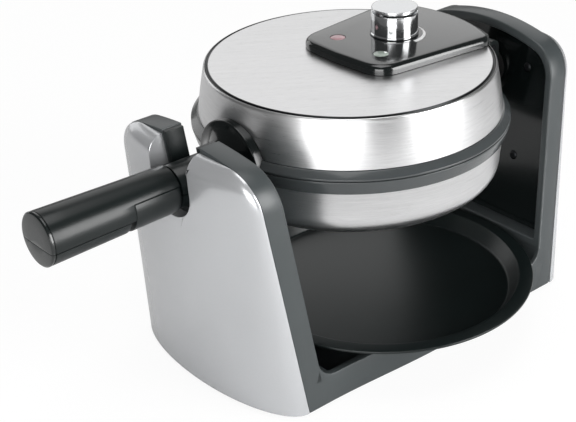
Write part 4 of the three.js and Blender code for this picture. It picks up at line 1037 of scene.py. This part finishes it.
class MakeFrame(PieceOperator):
    """Dark frame: band of the front tower, arch of the rear tower and the trough between them"""
    bl_idname = "waffle.frame"
    bl_label = "Frame"

    def execute(self, context):
        sizes = in_millimetres(context.scene.frame_sizes)
        front, rear = towers(sizes)
        band = self.band(sizes, front)
        arch = self.arch(sizes, rear)
        combine(band, self.trough(sizes, front, rear), "UNION")
        combine(band, arch, "UNION")
        for tower in (front, rear):
            combine(band, self.corner_fillets(sizes, tower), "UNION")
        wall = sizes.foot_half - TROUGH_WALL
        rail_half, rail_offset, rail_heights = 2.5, 42, (8, sizes.lip_height)
        for side in (-1, 1):
            y = TRAY_PLACE[1] + side * rail_offset
            rail = block("rail", (-wall - 1, wall + 1), (y - rail_half, y + rail_half), rail_heights)
            soften(rail, 0.6)
            combine(band, rail, "UNION")
        finish = moulded(
            "dark_moulding", context.scene.finish_colours.frame, 0.36, grain=1600, depth=0.015, spread=0.1,
            coat_weight=0.15, coat_roughness=0.3,
        )
        settle(band, "frame", "dark_plastic", finish, "frame_shell", "bearing_block")
        return {"FINISHED"}

    def band(self, sizes, tower):
        """Front tower: hollow from outside, with a solid bed round the notch."""
        thick, rim, lip, bed_half = sizes.tower_thick, sizes.rim, sizes.lip_height, sizes.notch_half + 9
        inner_wall = 3
        band = tower_slab("frame_moulding", sizes, tower, 0, 0, 0, thick)
        hollow = tower_slab("hollow", sizes, tower, rim, lip, -REACH / 3, thick - inner_wall)
        bed_limits = (FLIP_HEIGHT - bed_half, FLIP_HEIGHT + REACH)
        combine(hollow, block("bed", (-bed_half, bed_half), (-REACH * 4, 0), bed_limits), "DIFFERENCE")
        combine(band, hollow, "DIFFERENCE")
        combine(band, notch_space(sizes.notch_half, -REACH * 4, -REACH, FLIP_HEIGHT + REACH), "DIFFERENCE")
        soften(band, TOWER_EDGE, 3)
        return band

    def arch(self, sizes, tower):
        """Rear tower with its window."""
        thick, rim, sill = sizes.tower_thick, sizes.rim, sizes.window_sill
        arch = tower_slab("arch", sizes, tower, 0, 0, -thick, 0)
        window = tower_slab("window", sizes, tower, rim, sill, -thick - REACH / 3, REACH / 3)
        combine(arch, window, "DIFFERENCE")
        soften(arch, TOWER_EDGE, 3)
        return arch

    def trough(self, sizes, front, rear):
        """Low trough between the towers, open on top and hollow below its floor."""
        start, end = front.foot + sizes.tower_thick, rear.foot - sizes.tower_thick
        half, lip, wall = sizes.foot_half - 3, sizes.lip_height, sizes.foot_half - TROUGH_WALL
        floor_low, floor_high = 7, 10
        trough = lofted("trough", *(self.trough_outline(sizes, front, rear, height) for height in (0, lip)))
        ends = (start + TROUGH_WALL, end - TROUGH_WALL)
        combine(trough, block("channel", (-wall, wall), ends, (floor_high, lip + REACH)), "DIFFERENCE")
        combine(trough, block("underside", (-half, half), (start, end), (-REACH, floor_low)), "DIFFERENCE")
        soften(trough, 0.9, 3)
        return trough

    def trough_outline(self, sizes, front, rear, height):
        """Outline of the trough at a height, flush with both towers and bowed out between them."""
        start, end = front.foot + sizes.tower_thick - 1, rear.foot - sizes.tower_thick + 1
        inside_tower, steps = 1.5, 32
        sides = []
        for side in (1, -1):
            near, far = (
                tower.sway * height / tower.top + side * (sizes.foot_half - tower.slope * height)
                for tower in (front, rear)
            )
            line = [(near, front.foot + inside_tower)]
            for i in range(steps + 1):
                share = i / steps
                bow = side * sizes.lip_bow * math.sin(math.pi * share) ** 2
                line.append((near + (far - near) * share + bow, start + (end - start) * share))
            sides.append([*line, (far, rear.foot - inside_tower)])
        return [spot(x, y, height) for x, y in [*sides[0], *sides[1][::-1]]]

    def corner_fillets(self, sizes, tower):
        """Both rounded corners between a tower and the trough's sides."""
        lip, embedded, radius, width = sizes.lip_height, -6, 12, 8
        bend = arc((radius, lip + radius), radius, -90, -180, 12)
        outline = [(embedded, lip - 3), (radius, lip - 3), *bend, (embedded, lip + radius)]
        inner = sizes.foot_half - TROUGH_WALL
        pair = []
        for x in (inner, -inner - width):
            places = [
                on_face(tower, x, height, -tower.side * (sizes.tower_thick + depth))
                for depth, height in outline
            ]
            pair.append(prism("fillet", places, (width, 0, 0)))
        fillets = merged(*pair)
        inward = -tower.side * (sizes.tower_thick + radius + 2)
        side = tower_slab("side", sizes, tower, 0, 0, min(0, inward), max(0, inward))
        combine(fillets, side, "INTERSECT")
        soften(fillets, 0.7, 2)
        return fillets


def cover_rows(sizes, tower, inset, foot):
    """Rows of a tower cover: height, middle, half width and depth of each half ellipse."""
    spring = tower.shoulder - sizes.shoulder_radius
    radius = sizes.shoulder_radius - inset
    low_steps, high_steps, last_angle = 16, 18, 87.5
    heights = [foot + (spring - foot) * i / low_steps for i in range(low_steps)]
    for i in range(high_steps + 1):
        heights.append(spring + radius * math.sin(math.radians(last_angle * i / high_steps)))
    top_bulge = sizes.cover_top_bulge
    rows = []
    for height in heights:
        rise = max(0, height - spring)
        drawn_in = radius - math.sqrt(max(0, radius * radius - rise * rise))
        half = sizes.foot_half - tower.slope * min(height, spring) - inset - drawn_in
        bulge = sizes.cover_bulge + (top_bulge - sizes.cover_bulge) * max(0, height) / tower.top - inset
        over = min(1, max(0, (height - tower.shoulder + inset + top_bulge) / top_bulge))
        depth = max(bulge * math.sqrt(1 - over * over), SEAT)
        rows.append((height, tower.sway * height / tower.top, half, depth))
    return rows


def cover_body(name, sizes, tower, inset, foot):
    """Bulged body over a tower: a half ellipse extruded row by row, closed at both ends and behind."""
    rows = cover_rows(sizes, tower, inset, foot)
    height, middle, half, depth = rows[0]
    gap = tower.side * SEAT
    centre = on_face(tower, middle, height, gap)
    bpy.ops.object.select_all(action="DESELECT")
    bpy.ops.mesh.primitive_circle_add(vertices=ROUND, radius=half * MM, location=centre)
    obj = bpy.context.object
    obj.name = name
    bpy.ops.object.transform_apply(location=True)
    bpy.ops.object.mode_set(mode="EDIT")
    bpy.ops.mesh.select_mode(type="VERT")
    bpy.ops.mesh.select_all(action="SELECT")
    bpy.ops.transform.resize(value=(1, depth / half, 1), center_override=centre)
    bpy.ops.mesh.select_all(action="SELECT")
    bpy.ops.mesh.bisect(plane_co=centre, plane_no=(0, -tower.side, 0), clear_outer=True)
    bpy.ops.mesh.select_all(action="SELECT")
    bpy.ops.mesh.edge_face_add()
    for last, row in zip(rows, rows[1:]):
        low = on_face(tower, last[1], last[0], gap)
        high = on_face(tower, row[1], row[0], gap)
        bpy.ops.mesh.extrude_region_move(TRANSFORM_OT_translate={"value": high - low})
        bpy.ops.transform.resize(value=(row[2] / last[2], row[3] / last[3], 1), center_override=high)
    close_mesh()
    return obj


class MakeCovers(PieceOperator):
    """Silver covers of both towers, the front one with a rounded mouth around the handle"""
    bl_idname = "waffle.covers"
    bl_label = "Tower covers"

    def execute(self, context):
        sizes = in_millimetres(context.scene.frame_sizes)
        front, rear = towers(sizes)
        finish = silver_paint(context.scene.finish_colours)
        wall, room_foot = 2.4, -20
        notch, top = sizes.notch_half + SEAT, front.top + REACH
        start = front.foot - sizes.cover_bulge - REACH
        cover = cover_body("front_cover_shell", sizes, front, 0, 0)
        combine(cover, notch_space(notch, start, front.foot, top), "DIFFERENCE")
        room = cover_body("room", sizes, front, wall, room_foot)
        combine(room, notch_space(notch + wall, start, front.foot - 24, top), "DIFFERENCE")
        combine(cover, room, "DIFFERENCE")
        self.round_mouth(cover, notch)
        settle(cover, "frame", "silver_paint", finish, "front_tower_cover", angle=30)

        back = cover_body("rear_cover_shell", sizes, rear, 0, 0)
        combine(back, cover_body("room", sizes, rear, wall, room_foot), "DIFFERENCE")
        inlet_radius, inlet_height, far = 6.3, 24, rear.foot + REACH
        hole = [(0, rear.foot), (inlet_radius, rear.foot), (inlet_radius, far), (0, far)]
        combine(back, turned_along("inlet_hole", hole, 32, inlet_height), "DIFFERENCE")
        settle(back, "frame", "silver_paint", finish, "rear_tower_cover", angle=30)
        return {"FINISHED"}

    def round_mouth(self, cover, radius):
        """Rounds the outer edge of the notch."""
        only(cover)
        axis, limit = spot(0, 0, FLIP_HEIGHT), spot(0, -142, 0).y

        def on_notch(place):
            x, z = (place.x - axis.x) / MM, (place.z - axis.z) / MM
            beside = abs(abs(x) - radius) < 0.05 and z > -0.1
            below = z < 0.1 and abs(math.hypot(x, z) - radius) < 0.12
            return place.y < limit and (beside or below)

        mesh = cover.data
        normals = {}
        for face in mesh.polygons:
            for key in face.edge_keys:
                normals.setdefault(key, []).append(face.normal.copy())
        for item in (*mesh.vertices, *mesh.polygons):
            item.select = False
        for edge in mesh.edges:
            ends = [mesh.vertices[i].co for i in edge.vertices]
            sides = normals.get(edge.key, [])
            sharp = len(sides) == 2 and sides[0].angle(sides[1]) > math.radians(50)
            edge.select = sharp and all(map(on_notch, ends)) and any(side.y < -0.6 for side in sides)
        bpy.ops.object.mode_set(mode="EDIT")
        bpy.ops.mesh.select_mode(type="EDGE")
        bpy.ops.mesh.bevel(offset=0.7 * MM, segments=3, affect="EDGES")
        bpy.ops.object.mode_set(mode="OBJECT")


class MakeCradle(PieceOperator):
    """Liner of the notch, in which the handle's journal turns"""
    bl_idname = "waffle.cradle"
    bl_label = "Journal cradle"

    def execute(self, context):
        sizes = in_millimetres(context.scene.frame_sizes)
        front = towers(sizes)[0]
        outer, reach = sizes.notch_half - SEAT, front.foot - sizes.cover_bulge
        wall, low_cut, sleeve_rise, mouth_rise, back_gap = 3.5, 60, 29, 6, 1.5
        liner = notch_space(outer, reach, front.foot, FLIP_HEIGHT + sleeve_rise)
        depth = tower_slab("depth", sizes, front, 0, low_cut, SEAT, sizes.tower_thick - back_gap)
        combine(liner, depth, "INTERSECT")
        mouth = notch_space(outer, reach, front.foot, FLIP_HEIGHT + mouth_rise)
        combine(mouth, tower_slab("depth", sizes, front, 0, low_cut, -REACH, SEAT * 2), "INTERSECT")
        combine(mouth, cover_body("limits", sizes, front, SEAT, low_cut), "INTERSECT")
        combine(liner, mouth, "UNION")
        bore = notch_space(outer - wall, reach - REACH, front.foot + REACH, front.top + REACH)
        combine(liner, bore, "DIFFERENCE")
        soften(liner, 0.6, 3, 50)
        finish = moulded("liner_plastic", context.scene.finish_colours.satin, 0.34, grain=1300, depth=0.015)
        settle(liner, "frame", "dark_plastic", finish, "journal_cradle")
        return {"FINISHED"}


class MakeTray(PieceOperator):
    """Round black drip tray with a flat rim, a sloping wall and a foot ring"""
    bl_idname = "waffle.tray"
    bl_label = "Drip tray"

    def execute(self, context):
        sizes = in_millimetres(context.scene.frame_sizes)
        foot, sheet, radius = sizes.lip_height + SEAT, 1.7, sizes.tray_radius
        rim_height, depth, draft = 14, 10.5, 6.5
        ring_start, ring_end, ring_draft = 66, 70, 0.6
        rim = foot + rim_height
        floor = rim - depth
        wall = radius - sizes.tray_rim
        inner = wall - draft
        outline = rounded([
            (0, floor, 0), (ring_start, floor, 0.8), (ring_start + ring_draft, foot, 0.8),
            (ring_end - ring_draft, foot, 0.8), (ring_end, floor, 0.8),
            (inner, floor, 2.2), (wall, rim, 1.2), (radius, rim, 0.5), (radius, rim + sheet, 0.8),
            (wall - sheet * 0.6, rim + sheet, 1.4), (inner - sheet * 0.6, floor + sheet, 2.6),
            (0, floor + sheet, 0),
        ], 6)
        tray = turned("drip_tray_pan", outline, ROUND * 2, *TRAY_PLACE)
        finish = cast_coating("tray_coating", context.scene.finish_colours.tray, 0.31, 0.02)
        settle(tray, "tray", "tray_coating", finish, "drip_tray")
        return {"FINISHED"}


class MakeCadFinishes(PieceOperator):
    """Finishes for the solids that show as they are"""
    bl_idname = "waffle.cad_finishes"
    bl_label = "Finishes of plain solids"

    def execute(self, context):
        colours = context.scene.finish_colours
        coating = cast_coating("plate_coating", (0.016, 0.017, 0.017), 0.46)
        gloss = moulded(
            "recessed_panel", colours.gloss, 0.2, grain=700, depth=0.006, spread=0.08,
            coat_weight=0.4, coat_roughness=0.1,
        )
        satin = moulded("hinge_plastic", colours.satin, 0.36, grain=1300, depth=0.015)
        dark = moulded("base_plastic", colours.frame, 0.5, grain=900, depth=0.03)
        rubber = moulded("foot_rubber", (0.012, 0.012, 0.012), 0.82, grain=1900, depth=0.05)
        nylon = moulded("pale_nylon", (0.7, 0.68, 0.6), 0.5, grain=900)
        mark = moulded("pointer_white", colours.mark, 0.45, grain=2200, depth=0.01)
        ceramic = moulded("ceramic", (0.78, 0.75, 0.68), 0.6, grain=2400, depth=0.03)
        screw = plain_metal("screw_steel", (0.035, 0.037, 0.04), 0.5, (900, 900, 900))
        pressed = plain_metal("pressed_aluminium", (0.42, 0.43, 0.44), 0.42, (40, 1800, 40))
        element = plain_metal("heated_steel", (0.13, 0.125, 0.12), 0.5, (700, 700, 700), 0.5)
        kinds = ("foot", "base_screw", "panel_screw")
        feet, base_screws, panel_screws = ([f"{kind}_{i}" for i in range(1, 5)] for kind in kinds)
        finishes = {
            coating: ["upper_waffle_plate", "lower_waffle_plate"],
            gloss: ["rear_inner_panel"],
            satin: ["pivot_bracket", "hinge_leaf"],
            dark: ["base_plate"],
            rubber: ["pivot_bush", "cord_inlet", *feet],
            nylon: ["terminal_block", "power_lamp", "ready_lamp"],
            mark: ["knob_pointer"],
            ceramic: ["thermostat", "thermal_fuse"],
            screw: ["hinge_pin", "pivot_clip", *base_screws, *panel_screws],
            pressed: ["upper_reflector", "lower_reflector"],
            element: ["upper_heating_element", "lower_heating_element"],
        }
        for material, names in finishes.items():
            for name in names:
                node = frame["nodes"][name]
                node.data.materials.clear()
                node.data.materials.append(material)
        return {"FINISHED"}


class MakeStage(PieceOperator):
    """Pale floor, soft lamps, plain surroundings and the camera"""
    bl_idname = "waffle.stage"
    bl_label = "Stage"

    def execute(self, context):
        settings = context.scene.stage_settings
        self.camera(context.scene, settings)
        self.floor()
        self.world(context.scene, settings)
        for name, power, place, size in (
            ("front_lamp", settings.front_power, (0.85, -1.2, 0.45), (1.1, 0.9)),
            ("side_lamp", settings.side_power, (1.3, 0.55, 0.5), (0.8, 0.9)),
            ("left_lamp", settings.left_power, (-1.4, -0.15, 0.5), (0.7, 0.8)),
            ("back_lamp", settings.back_power, (-1.3, 1.1, 1.1), (2.0, 1.3)),
            ("top_lamp", settings.top_power, (0.0, 0.0, 1.4), (0.9, 0.9)),
        ):
            self.lamp(name, power, Vector(place), size)
        context.scene.view_settings.view_transform = "Standard"
        return {"FINISHED"}

    def camera(self, scene, settings):
        """Camera at the place found by the fit to the photo."""
        azimuth, elevation, roll = 50.1175, 28.1896, -1.791
        turn = Matrix.Translation((0.60113, -0.52013, 0.52254))
        for angle, axis in ((azimuth, "Z"), (90 - elevation, "X"), (roll, "Z")):
            turn = turn @ Matrix.Rotation(math.radians(angle), 4, axis)
        bpy.ops.object.select_all(action="DESELECT")
        bpy.ops.object.camera_add()
        camera = bpy.context.object
        camera.name = "photo_camera"
        camera.matrix_world = turn
        camera.data.sensor_width = 36
        camera.data.sensor_fit = "HORIZONTAL"
        camera.data.lens = settings.lens
        camera.data.shift_x, camera.data.shift_y = -0.01446, -0.00337
        camera.data.clip_start = 0.05
        scene.camera = camera

    def floor(self):
        """Matt pale floor that glows for the camera alone and keeps the object's shadow."""
        bpy.ops.object.select_all(action="DESELECT")
        bpy.ops.mesh.primitive_plane_add(size=12, location=(0, 0, 0))
        floor = bpy.context.object
        floor.name = "floor"
        finish = Finish("floor_white", (0.86, 0.86, 0.86), roughness=0.9)
        share = finish.node("ShaderNodeLightPath", output="Is Camera Ray") * 0.88
        white = finish.node("ShaderNodeEmission", None, {"Strength": 1.04})
        matt = Signal(finish, finish.shader.outputs[0])
        mix = finish.node("ShaderNodeMixShader", None, {0: share, 1: matt, 2: white})
        finish.feed(finish.tree.nodes["Material Output"].inputs["Surface"], mix)
        floor.data.materials.append(finish.material)

    def world(self, scene, settings):
        """White for the camera and through the lenses, dim as a source of light."""
        scene.world = bpy.data.worlds.new("studio")
        scene.world.use_nodes = True
        graph = Graph(scene.world.node_tree)
        background = graph.tree.nodes["Background"]
        graph.feed(background.inputs["Color"], (1, 1, 1, 1))
        kinds = ("Camera", "Transmission")
        rays = [graph.node("ShaderNodeLightPath", output=f"Is {kind} Ray") for kind in kinds]
        seen = graph.node("ShaderNodeMath", {"operation": "MAXIMUM"}, dict(enumerate(rays)))
        inputs = {"Value": seen, "To Min": settings.world_strength, "To Max": 1.0}
        graph.feed(background.inputs["Strength"], graph.node("ShaderNodeMapRange", None, inputs))

    def lamp(self, name, power, place, size):
        """Soft rectangular lamp aimed at the object's middle."""
        middle = Vector((0, 0, 0.1))
        turn = (middle - place).to_track_quat("-Z", "Y").to_euler()
        bpy.ops.object.select_all(action="DESELECT")
        bpy.ops.object.light_add(type="AREA", location=place, rotation=turn)
        lamp = bpy.context.object
        lamp.name = name
        lamp.data.shape = "RECTANGLE"
        lamp.data.size, lamp.data.size_y = size
        lamp.data.energy = power


class WafflePanel(bpy.types.Panel):
    """Lists the pieces, sizes and colours"""
    bl_idname = "VIEW3D_PT_waffle_maker"
    bl_label = "Waffle maker"
    bl_space_type = "VIEW_3D"
    bl_region_type = "UI"
    bl_category = "Waffle Maker"

    def draw(self, context):
        column = self.layout.column()
        for group in GROUPS:
            settings = getattr(context.scene, group)
            column.label(text=group.replace("_", " ").capitalize())
            for key in type(settings).__annotations__:
                column.prop(settings, key)
        for operator in OPERATORS:
            column.operator(operator.bl_idname)


GROUPS = {
    "drum_sizes": DrumSizes, "panel_sizes": PanelSizes, "handle_sizes": HandleSizes,
    "frame_sizes": FrameSizes, "finish_colours": FinishColours, "stage_settings": StageSettings,
}
OPERATORS = [
    MakeLidShell, MakeBowlShell, MakeRings, MakeControlPanel, MakeLenses, MakeScale, MakeKnob, MakeHandle,
    MakeEndCap, MakeCollars, MakeFrame, MakeCovers, MakeCradle, MakeTray, MakeCadFinishes, MakeStage,
]
CLASSES = [*GROUPS.values(), *OPERATORS, WafflePanel]


def register():
    for cls in CLASSES:
        bpy.utils.register_class(cls)
    for name, group in GROUPS.items():
        setattr(bpy.types.Scene, name, PointerProperty(type=group))


def unregister():
    for name in GROUPS:
        delattr(bpy.types.Scene, name)
    for cls in reversed(CLASSES):
        bpy.utils.unregister_class(cls)


def main():
    register()
    for operator in OPERATORS:
        family, name = operator.bl_idname.split(".")
        getattr(getattr(bpy.ops, family), name)()


if __name__ == "__main__":
    main()
